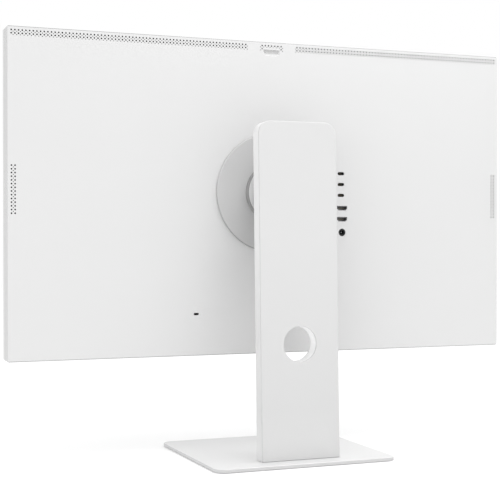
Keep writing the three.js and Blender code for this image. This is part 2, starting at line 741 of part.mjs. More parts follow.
function dataPorts() {
  const { width, height, wall, corner, depth } = DATA_PORT;
  const reach = tongueReach(depth, DATA_TONGUE.setBack);
  DATA_PORT_Z.forEach((z, index) => {
    const shell = plate(roundedRectangle(width, height, corner, DATA_PORT_X, z), [PORT_FRONT, PORT_REAR]);
    const mouth = plate(
      roundedRectangle(width - 2 * wall, height - 2 * wall, corner - wall, DATA_PORT_X, z),
      [PORT_REAR - depth, 5],
    );
    const tongue = box(span(DATA_PORT_X, DATA_TONGUE.width), reach, span(z, DATA_TONGUE.height));
    piece(cabinet, `data_port_${index + 1}`, join(cut(shell, mouth), tongue), FINISHES.blackPlastic);
  });
}

function videoPorts() {
  const { width, height, wall, chamfer, depth } = VIDEO_PORT;
  const reach = tongueReach(depth, VIDEO_TONGUE.setBack);
  VIDEO_PORT_Z.forEach((z, index) => {
    const shell = plate(videoOutline(width, height, chamfer, z), [PORT_FRONT, PORT_REAR]);
    const mouth = plate(
      videoOutline(width - 2 * wall, height - 2 * wall, VIDEO_MOUTH_CHAMFER, z),
      [PORT_REAR - depth, 5],
    );
    const rise = span(z + VIDEO_TONGUE.rise, VIDEO_TONGUE.height);
    const tongue = box(span(PORT_X, VIDEO_TONGUE.width), reach, rise);
    piece(cabinet, `video_port_${index + 1}`, join(cut(shell, mouth), tongue), FINISHES.steel);
  });
}

function dcInlet() {
  const { radius, depth } = DC_MOUTH;
  const shell = rodY(DC_RADIUS, PORT_X, [PORT_FRONT, PORT_REAR], DC_INLET_Z);
  const mouth = rodY(radius, PORT_X, [PORT_REAR - depth, 5], DC_INLET_Z);
  const pin = rodY(DC_PIN.radius, PORT_X, tongueReach(depth, DC_PIN.setBack), DC_INLET_Z, DC_PIN.sides);
  piece(cabinet, 'dc_inlet', join(cut(shell, mouth), pin), FINISHES.blackPlastic);
}

function lockPlate() {
  const rear = -COVER_WALL - GAP;
  const sheet = box(span(LOCK_X, 26), [rear - 2, rear], span(LOCK_Z, 16));
  const slot = plate(lockOutline(), [-10, 5]);
  piece(cabinet, 'lock_plate', cut(sheet, slot), FINISHES.steel);
}

// The dock's recess is deepest under its straight top edge and runs out to the bottom
function cameraDock() {
  const rear = -COVER_WALL - GAP;
  const block = box(span(0, 30), [rear - 6, rear], [DOCK_TOP - 12, DOCK_TOP + 4]);
  const bowl = rodX(SCOOP_RADIUS, [-DOCK_HALF_WIDTH, DOCK_HALF_WIDTH], rear + 5.5, DOCK_TOP - 1);
  const aboveEdge = box([-20, 20], [-20, 20], [DOCK_TOP, DOCK_TOP + 20]);
  piece(cabinet, 'camera_dock', cut(block, cut(bowl, aboveEdge)), FINISHES.whiteCover);
}

function powerButton() {
  const bottom = -HALF_HEIGHT - BUTTON_PROUD;
  const cap = box(span(0, BUTTON_LENGTH), span(BUTTON_Y, BUTTON_WIDTH), [bottom, -HALF_HEIGHT + 4]);
  const lip = box(
    span(0, BUTTON_LENGTH + 2 * BUTTON_LIP),
    span(BUTTON_Y, BUTTON_WIDTH + 2 * BUTTON_LIP - 0.4),
    [-HALF_HEIGHT + COVER_WALL + GAP, -HALF_HEIGHT + 4],
  );
  piece(cabinet, 'power_button', join(cap, lip), FINISHES.whiteCover);
}

// ---- Assembly ----

basePlate();
feet();
baseScrew();
columnShells();
cableRing();
spine();
rails();
carriage();
sliderShoes();
liftSprings();
hingeCover();
frictionWashers();
tiltBracket();
hingePin();
torsionSprings();
roundMount();
mountPlate();
rearCover();
frontFrame();
screen();
mainBoard();
cooling();
blower();
speakers();
topMeshes();
antennas();
dataPorts();
videoPorts();
dcInlet();
lockPlate();
cameraDock();
powerButton();

export default computer;
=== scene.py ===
# An all-in-one desktop computer seen from behind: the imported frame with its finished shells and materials.

import json
import math

import bmesh
import bpy
from mathutils import Matrix, Vector
from mathutils.geometry import delaunay_2d_cdt

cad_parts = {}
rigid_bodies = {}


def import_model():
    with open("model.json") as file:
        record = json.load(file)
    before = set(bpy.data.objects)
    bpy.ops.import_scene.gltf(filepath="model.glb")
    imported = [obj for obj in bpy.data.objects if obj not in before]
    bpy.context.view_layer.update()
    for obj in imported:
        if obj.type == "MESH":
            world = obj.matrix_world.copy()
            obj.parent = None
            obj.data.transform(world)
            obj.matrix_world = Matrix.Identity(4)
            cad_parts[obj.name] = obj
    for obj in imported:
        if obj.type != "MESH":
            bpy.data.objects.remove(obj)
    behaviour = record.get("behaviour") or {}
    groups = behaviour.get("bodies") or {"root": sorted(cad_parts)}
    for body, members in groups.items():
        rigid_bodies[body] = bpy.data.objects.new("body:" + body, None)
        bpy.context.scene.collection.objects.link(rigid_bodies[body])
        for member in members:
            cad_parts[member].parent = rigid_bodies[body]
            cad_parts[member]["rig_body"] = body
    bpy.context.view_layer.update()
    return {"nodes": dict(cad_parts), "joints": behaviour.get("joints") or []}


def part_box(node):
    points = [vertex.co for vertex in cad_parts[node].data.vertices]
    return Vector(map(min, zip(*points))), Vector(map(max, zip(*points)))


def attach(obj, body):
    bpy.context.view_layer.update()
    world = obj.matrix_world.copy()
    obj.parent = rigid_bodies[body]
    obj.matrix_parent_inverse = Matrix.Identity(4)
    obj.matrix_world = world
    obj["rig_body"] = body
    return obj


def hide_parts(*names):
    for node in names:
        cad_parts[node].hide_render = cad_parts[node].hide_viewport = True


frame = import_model()

MM = 0.001
JOINTS = {joint["name"]: joint for joint in frame["joints"]}

# How a piece's outline (a, b) and depth c turn into the frame's X, Y and Z: lying flat or standing upright
FLAT = Matrix()
UPRIGHT = Matrix(((1, 0, 0, 0), (0, 0, 1, 0), (0, 1, 0, 0), (0, 0, 0, 1)))

# The column leans, and its arm slides along it
SLIDE_AXIS = Vector(JOINTS["height_slide"]["axis"])
LEAN = Matrix.Rotation(math.atan2(-SLIDE_AXIS.y, SLIDE_AXIS.z), 4, "X")
LEANING = LEAN @ UPRIGHT


# ---- Shader expressions ----


class Wire:
    """A shader socket. An expression with it and numbers or other wires adds Math nodes."""

    def __init__(self, finish, socket):
        self.finish = finish
        self.socket = socket

    def math(self, operation, first, second):
        return self.finish.node("Math", {"operation": operation}, {0: first, 1: second})

    def __add__(self, other):
        return self.math("ADD", self, other)

    def __radd__(self, other):
        return self.math("ADD", other, self)

    def __sub__(self, other):
        return self.math("SUBTRACT", self, other)

    def __rsub__(self, other):
        return self.math("SUBTRACT", other, self)

    def __mul__(self, other):
        return self.math("MULTIPLY", self, other)

    def __rmul__(self, other):
        return self.math("MULTIPLY", other, self)

    def __truediv__(self, other):
        return self.math("DIVIDE", self, other)

    def __pow__(self, other):
        return self.math("POWER", self, other)

    def __lt__(self, other):
        return self.math("LESS_THAN", self, other)

    def __gt__(self, other):
        return self.math("GREATER_THAN", self, other)

    def __abs__(self):
        return self.finish.node("Math", {"operation": "ABSOLUTE"}, {0: self})


class Finish:
    """One material, with a Principled shader and the nodes that vary it."""

    def __init__(self, name, colour, roughness, metallic=0.0, **constants):
        self.material = bpy.data.materials.new(name)
        self.material.use_nodes = True
        self.tree = self.material.node_tree
        self.tree.nodes.clear()
        self.colour = colour
        self.shader = self.tree.nodes.new("ShaderNodeBsdfPrincipled")
        output = self.tree.nodes.new("ShaderNodeOutputMaterial")
        self.tree.links.new(self.shader.outputs[0], output.inputs[0])
        self.set("Base Color", (*colour, 1.0))
        self.set("Roughness", roughness)
        self.set("Metallic", metallic)
        for socket, value in constants.items():
            self.set(socket.replace("_", " "), value)
        place = self.tree.nodes.new("ShaderNodeTexCoord")
        self.place = Wire(self, place.outputs["Object"])

    def feed(self, socket, value):
        if isinstance(value, Wire):
            self.tree.links.new(value.socket, socket)
        else:
            socket.default_value = value

    def set(self, name, value):
        self.feed(self.shader.inputs[name], value)

    def node(self, kind, settings=None, inputs=None, output=0):
        """Adds one node: its settings first, then the values or wires of its sockets."""
        made = self.tree.nodes.new("ShaderNode" + kind)
        for name, value in (settings or {}).items():
            if name == "stops":
                while len(made.color_ramp.elements) < len(value):
                    made.color_ramp.elements.new(0.5)
                for element, (position, shade) in zip(made.color_ramp.elements, value):
                    element.position = position
                    element.color = (shade, shade, shade, 1.0)
            else:
                setattr(made, name, value)
        for name, value in (inputs or {}).items():
            self.feed(made.inputs[name], value)
        return Wire(self, made.outputs[output])

    def axis(self, name):
        return self.node("SeparateXYZ", inputs={0: self.place}, output=name)

    def wave(self, axis, pitch):
        """A sine wave along an axis, which repeats at that pitch."""
        return self.node("Math", {"operation": "SINE"}, {0: self.axis(axis) * (2 * math.pi / pitch)})

    def stretched(self, x, y, z):
        """Object coordinates stretched along each axis."""
        return self.node("VectorMath", {"operation": "MULTIPLY"}, {0: self.place, 1: (x, y, z)})

    def noise(self, size, detail=2.0, rough=0.5, where=None):
        """Noise from 0 to 1 whose lumps are about that size, in metres."""
        inputs = {"Vector": where or self.place, "Scale": 1 / size, "Detail": detail, "Roughness": rough}
        return self.node("TexNoise", inputs=inputs)

    def cells(self, size):
        """Distance from the middle of cells of about that size, in metres."""
        return self.node("TexVoronoi", inputs={"Vector": self.place, "Scale": 1 / size})

    def ramp(self, value, *stops):
        return self.node("ValToRGB", {"stops": stops}, {0: value})

    def blend(self, factor, first, second):
        return self.node("Mix", {"data_type": "RGBA"}, {0: factor, 6: first, 7: second}, output=2)

    def shades(self, factor, dark, light):
        """The base colour between two brightnesses."""
        return self.blend(factor, self.tint(dark), self.tint(light))

    def tint(self, amount):
        """The base colour at another brightness."""
        return (*(min(channel * amount, 1.0) for channel in self.colour), 1.0)

    def bump(self, height, depth, normal=None):
        """A surface normal from a height of 0 to 1 that stands for that depth, in metres."""
        inputs = {"Height": height, "Distance": depth, "Strength": 1.0}
        if normal is not None:
            inputs["Normal"] = normal
        return self.node("Bump", inputs=inputs)


# ---- Materials ----

# How bright the painted shade on the greyer places is, beside the rest of the same finish
RIM_PAINTED_SHADE = 0.88
RIM_LINE_PAINTED_SHADE = 0.45
DISC_RIM_PAINTED_SHADE = 0.6
PLATE_EDGE_PAINTED_SHADE = 0.76

# How far in from the rear a shell's line of painted shade reaches, and how far up the column the painted
# shade above the foot reaches
RIM_SHADE_LINE_DEPTH = 1 * MM
FOOT_SHADE_REACH = 280 * MM


def edge_mask(finish, half_width, half_height, centre_z):
    """1 on a cabinet's side walls and at the outer rim of its rear face."""
    across = abs(finish.axis("X")) - half_width
    upward = abs(finish.axis("Z") - centre_z) - half_height
    return finish.node("Math", {"operation": "MAXIMUM"}, {0: across, 1: upward}) > 0.0


def moulded(
    name, colour, roughness, grain=0.35 * MM, depth=0.012 * MM, drift=0.02, rim=None, front=None, foot=None,
):
    """Moulded plastic: a fine etched grain, slow drifts in shade and gloss, and faint handling marks.
    rim is (half width, half height, centre height, rear) of a shell whose outer wall is greyer with painted
    shade, with a darker line of painted shade along its top and bottom edges.
    front is the brightness of a face turned to the front, painted lighter so that it throws more bounce
    light on what faces it.
    foot is the brightness of the painted shade a hand's width above the base, which fades away up the column
    and at the foot itself."""
    finish = Finish(name, colour, roughness, Specular_IOR_Level=0.45)
    slow = finish.noise(90 * MM, 3.0)
    fine = finish.noise(grain, 2.0, 0.6)
    speck = finish.cells(2.2 * grain)
    smears = finish.noise(25 * MM, 4.0, 0.62, finish.stretched(1.0, 1.0, 0.35))
    rubbed = finish.ramp(smears, (0.5, 0.0), (0.72, 1.0))
    shade = finish.shades(slow * 0.7 + fine * 0.3, 1 - drift, 1 + drift * 0.5)
    if rim is not None:
        half_width, half_height, centre_z, rear = rim
        # Painted shade: the shell's outer walls and the outer rim of its rear face are made greyer
        wall = edge_mask(finish, half_width, half_height, centre_z)
        shade = finish.blend(wall, shade, finish.tint(RIM_PAINTED_SHADE))
        # Painted shade: a dark line along the top and bottom edges, just in from the rear face
        upward = abs(finish.axis("Z") - centre_z) > half_height
        line = upward * (finish.axis("Y") > rear - RIM_SHADE_LINE_DEPTH)
        shade = finish.blend(line, shade, finish.tint(RIM_LINE_PAINTED_SHADE))
    if front is not None:
        # Painted light: faces turned to the front are made lighter
        normal = finish.node("NewGeometry", output="True Normal")
        facing = finish.node("SeparateXYZ", inputs={0: normal}, output="Y")
        shade = finish.blend(facing < -0.7, shade, finish.tint(front))
    if foot is not None:
        # Painted shade: the column darker a hand's width above its foot, fading upwards
        foot_shade = finish.ramp(finish.axis("Z") / FOOT_SHADE_REACH, (0.02, 0.0), (0.25, 1.0), (1.0, 0.0))
        shade = finish.blend(foot_shade, shade, finish.tint(foot))
    finish.set("Base Color", shade)
    finish.set("Roughness", roughness + (fine - 0.5) * 0.06 - rubbed * 0.05)
    finish.set("Normal", finish.bump(fine * 0.7 + speck * 0.3, depth))
    return finish.material


def coated(name, colour, roughness, edge_height):
    """Powder coat: soft orange peel over a fine grain, with a thin clear gloss that varies.
    Below edge_height it covers the plate's cut edge, which is greyer with painted shade."""
    finish = Finish(name, colour, roughness, Specular_IOR_Level=0.5)
    peel = finish.noise(1.6 * MM, 2.0, 0.45)
    grain = finish.noise(0.25 * MM, 1.0)
    slow = finish.noise(70 * MM, 3.0)
    # Painted shade: the plate's cut edge is greyer below edge_height
    edge = finish.axis("Z") < edge_height
    face = finish.shades(slow, 0.975, 1.01)
    finish.set("Base Color", finish.blend(edge, face, finish.tint(PLATE_EDGE_PAINTED_SHADE)))
    finish.set("Roughness", roughness + (slow - 0.5) * 0.08 + (grain - 0.5) * 0.05)
    finish.set("Coat Weight", 0.08 + slow * 0.08)
    soft = finish.bump(peel, 0.02 * MM)
    finish.set("Normal", finish.bump(grain, 0.006 * MM, soft))
    return finish.material


def brushed(name, colour, roughness):
    """Metal with fine drawn lines, slightly stained and worn."""
    finish = Finish(name, colour, roughness, 1.0)
    streaks = finish.noise(0.5 * MM, 3.0, 0.7, finish.stretched(1.0, 1.0, 1 / 14))
    stain = finish.noise(14 * MM, 4.0, 0.6)
    nicks = finish.ramp(finish.noise(3 * MM, 5.0, 0.7), (0.62, 0.0), (0.7, 1.0))
    finish.set("Base Color", finish.shades(streaks * 0.6 + stain * 0.4, 0.78, 1.08))
    finish.set("Roughness", roughness + (streaks - 0.5) * 0.2 + nicks * 0.12)
    finish.set("Normal", finish.bump(streaks, 0.01 * MM))
    return finish.material


def blasted(name, colour, roughness, metallic, rim=None):
    """A fine blasted finish, on anodised aluminium or on silver-grey plastic.
    rim is the centre height and the radius of a disc whose edge is darker along its lower half, as painted
    shade."""
    finish = Finish(name, colour, roughness, metallic)
    pits = finish.cells(0.22 * MM)
    grain = finish.noise(0.3 * MM, 3.0, 0.7)
    slow = finish.noise(60 * MM, 2.0)
    shade = finish.shades(slow * 0.5 + grain * 0.5, 0.95, 1.04)
    if rim is not None:
        centre_z, radius = rim
        # Painted shade: the disc's edge darker towards the bottom and plain at the top
        rise = finish.axis("Z") - centre_z
        reach = (finish.axis("X") ** 2 + rise ** 2) ** 0.5
        shaded = finish.ramp(rise / (2 * radius) + 0.5, (0.1, 1.0), (0.65, 0.0))
        shade = finish.blend((reach > radius) * shaded, shade, finish.tint(DISC_RIM_PAINTED_SHADE))
    finish.set("Base Color", shade)
    finish.set("Roughness", roughness + (grain - 0.5) * 0.1)
    finish.set("Normal", finish.bump(pits * 0.6 + grain * 0.4, 0.01 * MM))
    return finish.material


def screen_glass(active_half_width, active_half_height, centre_z):
    """Anti-glare glass: near black, with a slightly different black over the printed border."""
    finish = Finish("screen_glass", (0.012, 0.013, 0.015), 0.2, Specular_IOR_Level=0.3)
    border = edge_mask(finish, active_half_width, active_half_height, centre_z)
    dust = finish.ramp(finish.noise(0.8 * MM, 2.0), (0.74, 0.0), (0.78, 1.0))
    smear = finish.noise(40 * MM, 5.0, 0.65)
    shade = finish.blend(border, (0.012, 0.0135, 0.017, 1.0), (0.004, 0.004, 0.0045, 1.0))
    finish.set("Base Color", finish.blend(dust * 0.25, shade, (0.2, 0.2, 0.2, 1.0)))
    finish.set("Roughness", 0.16 + smear * 0.14)
    finish.set("Normal", finish.bump(finish.noise(0.12 * MM, 1.0), 0.0008 * MM))
    return finish.material


def circuit(name, colour):
    """Circuit board: solder mask over traces, with small bare pads."""
    finish = Finish(name, colour, 0.4)
    upright = finish.node("CombineXYZ", inputs={0: finish.axis("X"), 1: finish.axis("Z")})
    layout = {"Vector": upright, "Scale": 90.0, "Mortar Size": 0.03}
    traces = finish.node("TexBrick", {"offset": 0.37, "squash": 1.6}, layout, output="Fac")
    pads = finish.cells(2.4 * MM) < 0.2
    grain = finish.noise(0.4 * MM, 2.0)
    masked = finish.shades(traces * 0.7 + grain * 0.3, 0.8, 1.7)
    finish.set("Base Color", finish.blend(pads, masked, (0.62, 0.47, 0.2, 1.0)))
    finish.set("Metallic", pads * 0.9)
    finish.set("Roughness", 0.45 - pads * 0.15 + grain * 0.1)
    finish.set("Normal", finish.bump(traces * 0.5 + pads * 0.5, 0.03 * MM))
    return finish.material


def dust_mesh(name, colour, pitch):
    """Woven dust mesh: threads that cross over and under each other."""
    finish = Finish(name, colour, 0.8)
    warp, weft = finish.wave("X", pitch), finish.wave("Z", pitch)
    weave = abs(warp) * 0.5 + abs(weft) * 0.5
    lint = finish.noise(1.5 * MM, 4.0, 0.7)
    finish.set("Base Color", finish.shades(weave * 0.7 + lint * 0.3, 0.35, 1.5))
    finish.set("Roughness", 0.7 + lint * 0.25)
    finish.set("Normal", finish.bump(weave, 0.08 * MM))
    return finish.material


def rubbery(name, colour):
    """Rubber with a matt bloom and fine pores."""
    finish = Finish(name, colour, 0.85)
    bloom = finish.noise(6 * MM, 4.0, 0.6)
    pores = finish.cells(0.5 * MM)
    finish.set("Base Color", finish.shades(bloom, 0.8, 1.5))
    finish.set("Roughness", 0.75 + bloom * 0.2)
    finish.set("Normal", finish.bump(pores * 0.6 + bloom * 0.4, 0.03 * MM))
    return finish.material


def milky(name, colour):
    """Diffusing acrylic with its faint grid of printed dots."""
    finish = Finish(name, colour, 0.35, Subsurface_Weight=0.1)
    dots = finish.cells(3.0 * MM) < 0.25
    slow = finish.noise(80 * MM, 2.0)
    finish.set("Base Color", finish.shades(slow * 0.6 + dots * 0.4, 0.94, 1.04))
    finish.set("Roughness", 0.3 + dots * 0.2 + slow * 0.1)
    finish.set("Normal", finish.bump(dots, 0.01 * MM))
    return finish.material


def panel_black(name, colour):
    """Polarising film: near black with faint upright stripes of picture cells."""
    finish = Finish(name, colour, 0.3)
    stripes = finish.wave("X", 0.54 * MM)
    film = finish.noise(60 * MM, 3.0)
    finish.set("Base Color", finish.shades(film * 0.5 + stripes * 0.2, 0.7, 1.4))
    finish.set("Roughness", 0.25 + film * 0.15)
    finish.set("Normal", finish.bump(stripes, 0.002 * MM))
    return finish.material


# ---- Surfaces ----

# How far above a leaning column's foot its lowest edge is reshaped, and the part of that height that stays
FOOT_REACH = 2.2 * MM
FOOT_REST = 0.25

# How closely a sheet's corners are told apart, and the turn in degrees beyond which an edge looks sharp
SHEET_PRECISION = 1e-6
SHARP_ANGLE = 35


def add_object(name, data):
    made = bpy.data.objects.new(name, data)
    bpy.context.scene.collection.objects.link(made)
    return made


class Surface:
    """A closed surface made of loops of points, joined by bands and filled by sheets."""

    def __init__(self, place=UPRIGHT):
        self.mesh = bmesh.new()
        self.place = place
        self.flat = {}

    def loop(self, outline, depth):
        points = []
        for a, b in outline:
            vert = self.mesh.verts.new(self.place @ Vector((a, b, depth)))
            self.flat[vert] = Vector((a, b)) / MM
            points.append(vert)
        return points

    def band(self, first, second, leave=()):
        """Quads between two loops, leaving out the numbered ones."""
        count = len(first)
        for i in range(count):
            if i not in leave:
                j = (i + 1) % count
                self.mesh.faces.new((first[i], first[j], second[j], second[i]))

    def bands(self, loops):
        for first, second in zip(loops, loops[1:]):
            self.band(first, second)

    def hoop(self, loops):
        """Joins loops in turn, and the last one to the first."""
        self.bands([*loops, loops[0]])

    def solid(self, loops):
        """Joins loops in turn, and closes both ends."""
        self.bands(loops)
        self.sheet(loops[0])
        self.sheet(loops[-1])

    def sheet(self, outline, holes=()):
        """Fills an outline, leaving its holes open."""
        if not holes:
            self.mesh.faces.new(outline)
            return
        loops = [outline, *holes]
        verts = [vert for loop in loops for vert in loop]
        owners = [number for number, loop in enumerate(loops) for _ in loop]
        edges = []
        for loop in loops:
            start = len(edges)
            edges += [(start + i, start + (i + 1) % len(loop)) for i in range(len(loop))]
        flat = [self.flat[vert] for vert in verts]
        _, _, triangles, origins, _, _ = delaunay_2d_cdt(flat, edges, [], 1, SHEET_PRECISION)
        for triangle in triangles:
            corners = [origins[point][0] for point in triangle]
            met = {owners[corner] for corner in corners}
            if len(met) > 1 or met == {0}:
                self.mesh.faces.new([verts[corner] for corner in corners])

    def tunnel(self, hole, low, high, ease):
        """The wall of a hole through a plate. hole(grow) is its outline; returns its two end loops."""
        stops = [(ease, low), (0.0, low + ease), (0.0, high - ease), (ease, high)]
        loops = [self.loop(hole(grow), depth) for grow, depth in stops]
        self.bands(loops)
        return loops[0], loops[-1]

    def slab(self, outline, low, high, ease, holes=(), hole_ease=0.0, steps=4):
        """A plate with rounded edges. outline(inset) is its outline, and each hole(grow) one opening."""
        profile = rounding(ease, steps)
        rising = [(inset, high - drop) for inset, drop in profile]
        falling = [(inset, low + drop) for inset, drop in reversed(profile)]
        loops = [self.loop(outline(inset), depth) for inset, depth in falling + rising]
        self.bands(loops)
        ends = [self.tunnel(hole, low, high, hole_ease) for hole in holes]
        self.sheet(loops[0], [low_end for low_end, _ in ends])
        self.sheet(loops[-1], [high_end for _, high_end in ends])

    def box(self, a, b, c):
        """A plain box between three pairs of limits."""
        outline = [(a[0], b[0]), (a[1], b[0]), (a[1], b[1]), (a[0], b[1])]
        self.solid([self.loop(outline, depth) for depth in c])

    def turned(self, profile, centre, segments=96):
        """A solid turned about its depth axis. The profile's points are (radius, depth)."""
        self.solid([self.loop(circle(radius, centre, segments), depth) for radius, depth in profile])

    def ring(self, profile, centre, segments=96):
        """A ring turned about its depth axis from a closed profile."""
        self.hoop([self.loop(circle(radius, centre, segments), depth) for radius, depth in profile])

    def settle(self, height):
        """Brings the lowest edge down to that height, as where a leaning column meets its base."""
        for vert in self.mesh.verts:
            if vert.co.z < height + FOOT_REACH:
                vert.co.z = height + (vert.co.z - height) * FOOT_REST

    def piece(self, name, body, slot, material, *nodes):
        """Makes the finished piece, which rides on a body and stands for the named CAD nodes."""
        bmesh.ops.recalc_face_normals(self.mesh, faces=self.mesh.faces)
        data = bpy.data.meshes.new(name)
        self.mesh.to_mesh(data)
        self.mesh.free()
        data.shade_smooth()
        data.set_sharp_from_angle(angle=math.radians(SHARP_ANGLE))
        data.materials.append(material)
        made = add_object(name, data)
        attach(made, body)
        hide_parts(*nodes)


def rounding(radius, steps=4, margin=0.5):
    """A rounded edge as (inset, drop below the face), from the side wall to the face.
    margin is the flat strip left at each end, as a part of the radius."""
    quarter = [math.pi / 2 * step / steps for step in range(steps + 1)]
    arc = [(radius * (1 - math.cos(turn)), radius * (1 - math.sin(turn))) for turn in quarter]
    strip = radius * margin
    return [(0.0, radius + strip), *arc, (radius + strip, 0.0)]


def circle(radius, centre=(0.0, 0.0), segments=96):
    turns = [2 * math.pi * i / segments for i in range(segments)]
    return [(centre[0] + radius * math.cos(turn), centre[1] + radius * math.sin(turn)) for turn in turns]


def rounded(width, height, radius, centre=(0.0, 0.0), steps=8):
    """A rectangle with round corners, counter-clockwise from its lower right corner's arc."""
    points = []
    for number, (side, end) in enumerate([(1, -1), (1, 1), (-1, 1), (-1, -1)]):
        a = centre[0] + side * (width / 2 - radius)
        b = centre[1] + end * (height / 2 - radius)
        start = math.pi / 2 * (number - 1)
        for step in range(steps + 1):
            turn = start + math.pi / 2 * step / steps
            points.append((a + radius * math.cos(turn), b + radius * math.sin(turn)))
    return points


def shrinking(width, height, radius, centre=(0.0, 0.0), steps=8):
    """A rectangle with round corners, as a function of its inset."""
    def outline(inset=0.0):
        return rounded(width - 2 * inset, height - 2 * inset, radius - inset, centre, steps)
    return outline


def leaning_box(node):
    """A CAD node's lowest and highest corners, measured along the leaning column's own axes."""
    upright = LEAN.inverted()
    corners = [upright @ vert.co for vert in frame["nodes"][node].data.vertices]
    low = Vector(min(corner[axis] for corner in corners) for axis in range(3))
    high = Vector(max(corner[axis] for corner in corners) for axis in range(3))
    return low, high


def centre_of(node, axes="xz"):
    """The middle of a CAD node's box along two axes: xz as seen from behind, xy as seen from above."""
    low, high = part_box(node)
    return tuple((getattr(low, axis) + getattr(high, axis)) / 2 for axis in axes)


def edge_points(radius, top, ease, steps):
    """The rounded outer edge of a turned piece, as points of (radius, depth)."""
    return [(radius - inset, top - drop) for inset, drop in rounding(ease, steps)]


# ---- Cabinet ----

COVER_LOW, COVER_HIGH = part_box("rear_cover")
BUTTON_LOW, BUTTON_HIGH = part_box("power_button")
CABINET_WIDTH = COVER_HIGH.x - COVER_LOW.x
CABINET_HEIGHT = COVER_HIGH.z - COVER_LOW.z
CABINET_CENTRE = (0.0, (COVER_LOW.z + COVER_HIGH.z) / 2)
CABINET_CORNER = 2.5 * MM
COVER_EDGE = 1.2 * MM
COVER_WALL = 2.2 * MM
REAR = COVER_HIGH.y
SIDES = (1, -1)
BUTTON_SLOT_WIDTH = 16 * MM
BUTTON_SLOT_DEPTH = 6 * MM

# Air holes: staggered rows and columns, the odd ones smaller, each hole widening behind a thin lip
HOLE_PITCH = 4.618 * MM
LARGE_HOLE = 1.1 * MM
SMALL_HOLE = 0.66 * MM
HOLE_LIP = 0.6 * MM
HOLE_WIDENING = 1.2
AIR_HOLE_SIDES = 12
TOP_GRILLE_ROWS = 4
TOP_GRILLE_HOLES = 69
TOP_GRILLE_START = 37.55 * MM
TOP_ROW_DROP = 5.0 * MM
ROW_PITCH = 2.05 * MM
SIDE_GRILLE_COLUMNS = 3
SIDE_GRILLE_HOLES = 14
SIDE_GRILLE_INSET = 5.5 * MM
SIDE_GRILLE_TOP = 36.2 * MM
SIDE_COLUMN_PITCH = 2.25 * MM

# Over the camera dock two rows run across, and the others leave its window clear
DOCK_GRILLE_HOLES = 7
DOCK_GRILLE_FULL_ROWS = 2
DOCK_GRILLE_GAP = 1 * MM

# The camera dock's window is straight along the top and rounded below, and its wall slopes inwards
DOCK_LOW, DOCK_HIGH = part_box("camera_dock")
DOCK_HALF = 12.1 * MM
DOCK_TOP = DOCK_HIGH.z - 4 * MM
DOCK_DROP = 8.6 * MM
DOCK_SLOPE = 2.6 * MM
DOCK_SIDE_SLOPE = 0.6
DOCK_SIDE_POWER = 0.6
DOCK_DROP_POWER = 0.55
SCOOP_HALF = DOCK_HALF - 0.5 * MM
SCOOP_DEPTH = 1.35 * MM
SCOOP_EDGE = 0.15 * MM

# Sockets and the cover's holes for them
DATA_PORTS = ["data_port_1", "data_port_2", "data_port_3"]
VIDEO_PORTS = ["video_port_1", "video_port_2"]
PORT_CLEARANCE = 0.3 * MM
DATA_PORT_CLEARANCE = 0.55 * MM
PORT_EASE = 0.25 * MM
PORT_ROUNDNESS = 0.98
VIDEO_CHAMFER = 2.2 * MM
CHAMFER_GROWTH = 0.41
INLET_HOLE_RADIUS = 5.3 * MM
LOCK_WIDTH = 7 * MM
LOCK_HEIGHT = 3 * MM
LOCK_CORNER = 0.8 * MM

# The front rim's wall and the ledge inside it
RIM_WALL = 1.4 * MM
RIM_EDGE = 0.6 * MM
RIM_CHAMFER = 0.15 * MM
LEDGE_WIDTH = 7 * MM
LEDGE_FRONT = 1.9 * MM
LEDGE_REAR = 3.4 * MM
GLASS_CORNER = 2.6 * MM
GLASS_EDGE = 0.4 * MM


def cabinet_outline(inset=0.0):
    """The cabinet's outline, whose lower edge also has a point at each side of the button.
    Its corners shrink with the inset, but never below a fifth of their radius."""
    points = rounded(
        CABINET_WIDTH - 2 * inset,
        CABINET_HEIGHT - 2 * inset,
        CABINET_CORNER - min(inset, CABINET_CORNER * 0.8),
        CABINET_CENTRE,
    )
    low = CABINET_CENTRE[1] - CABINET_HEIGHT / 2 + inset
    half = BUTTON_SLOT_WIDTH / 2
    return [*points, (-half, low), (half, low)]


def air_holes():
    """Centre and radius of each hole in the perforated fields."""
    top = COVER_HIGH.z - TOP_ROW_DROP
    for row in range(TOP_GRILLE_ROWS):
        radius = SMALL_HOLE if row % 2 else LARGE_HOLE
        shift = -HOLE_PITCH / 2 * (row % 2)
        for side in SIDES:
            for number in range(TOP_GRILLE_HOLES):
                across = TOP_GRILLE_START + HOLE_PITCH * number + shift
                yield (side * across, top - row * ROW_PITCH), radius
        for number in range(DOCK_GRILLE_HOLES + row % 2):
            across = HOLE_PITCH * (number - (DOCK_GRILLE_HOLES - 1) / 2) + shift
            if row < DOCK_GRILLE_FULL_ROWS or abs(across) > DOCK_HALF + DOCK_GRILLE_GAP:
                yield (across, top - row * ROW_PITCH), radius
    for column in range(SIDE_GRILLE_COLUMNS):
        radius = SMALL_HOLE if column % 2 else LARGE_HOLE
        across = CABINET_WIDTH / 2 - SIDE_GRILLE_INSET - column * SIDE_COLUMN_PITCH
        for number in range(SIDE_GRILLE_HOLES - column % 2):
            down = (number + 0.5 * (column % 2)) * HOLE_PITCH
            for side in SIDES:
                yield (side * across, CABINET_CENTRE[1] + SIDE_GRILLE_TOP - down), radius


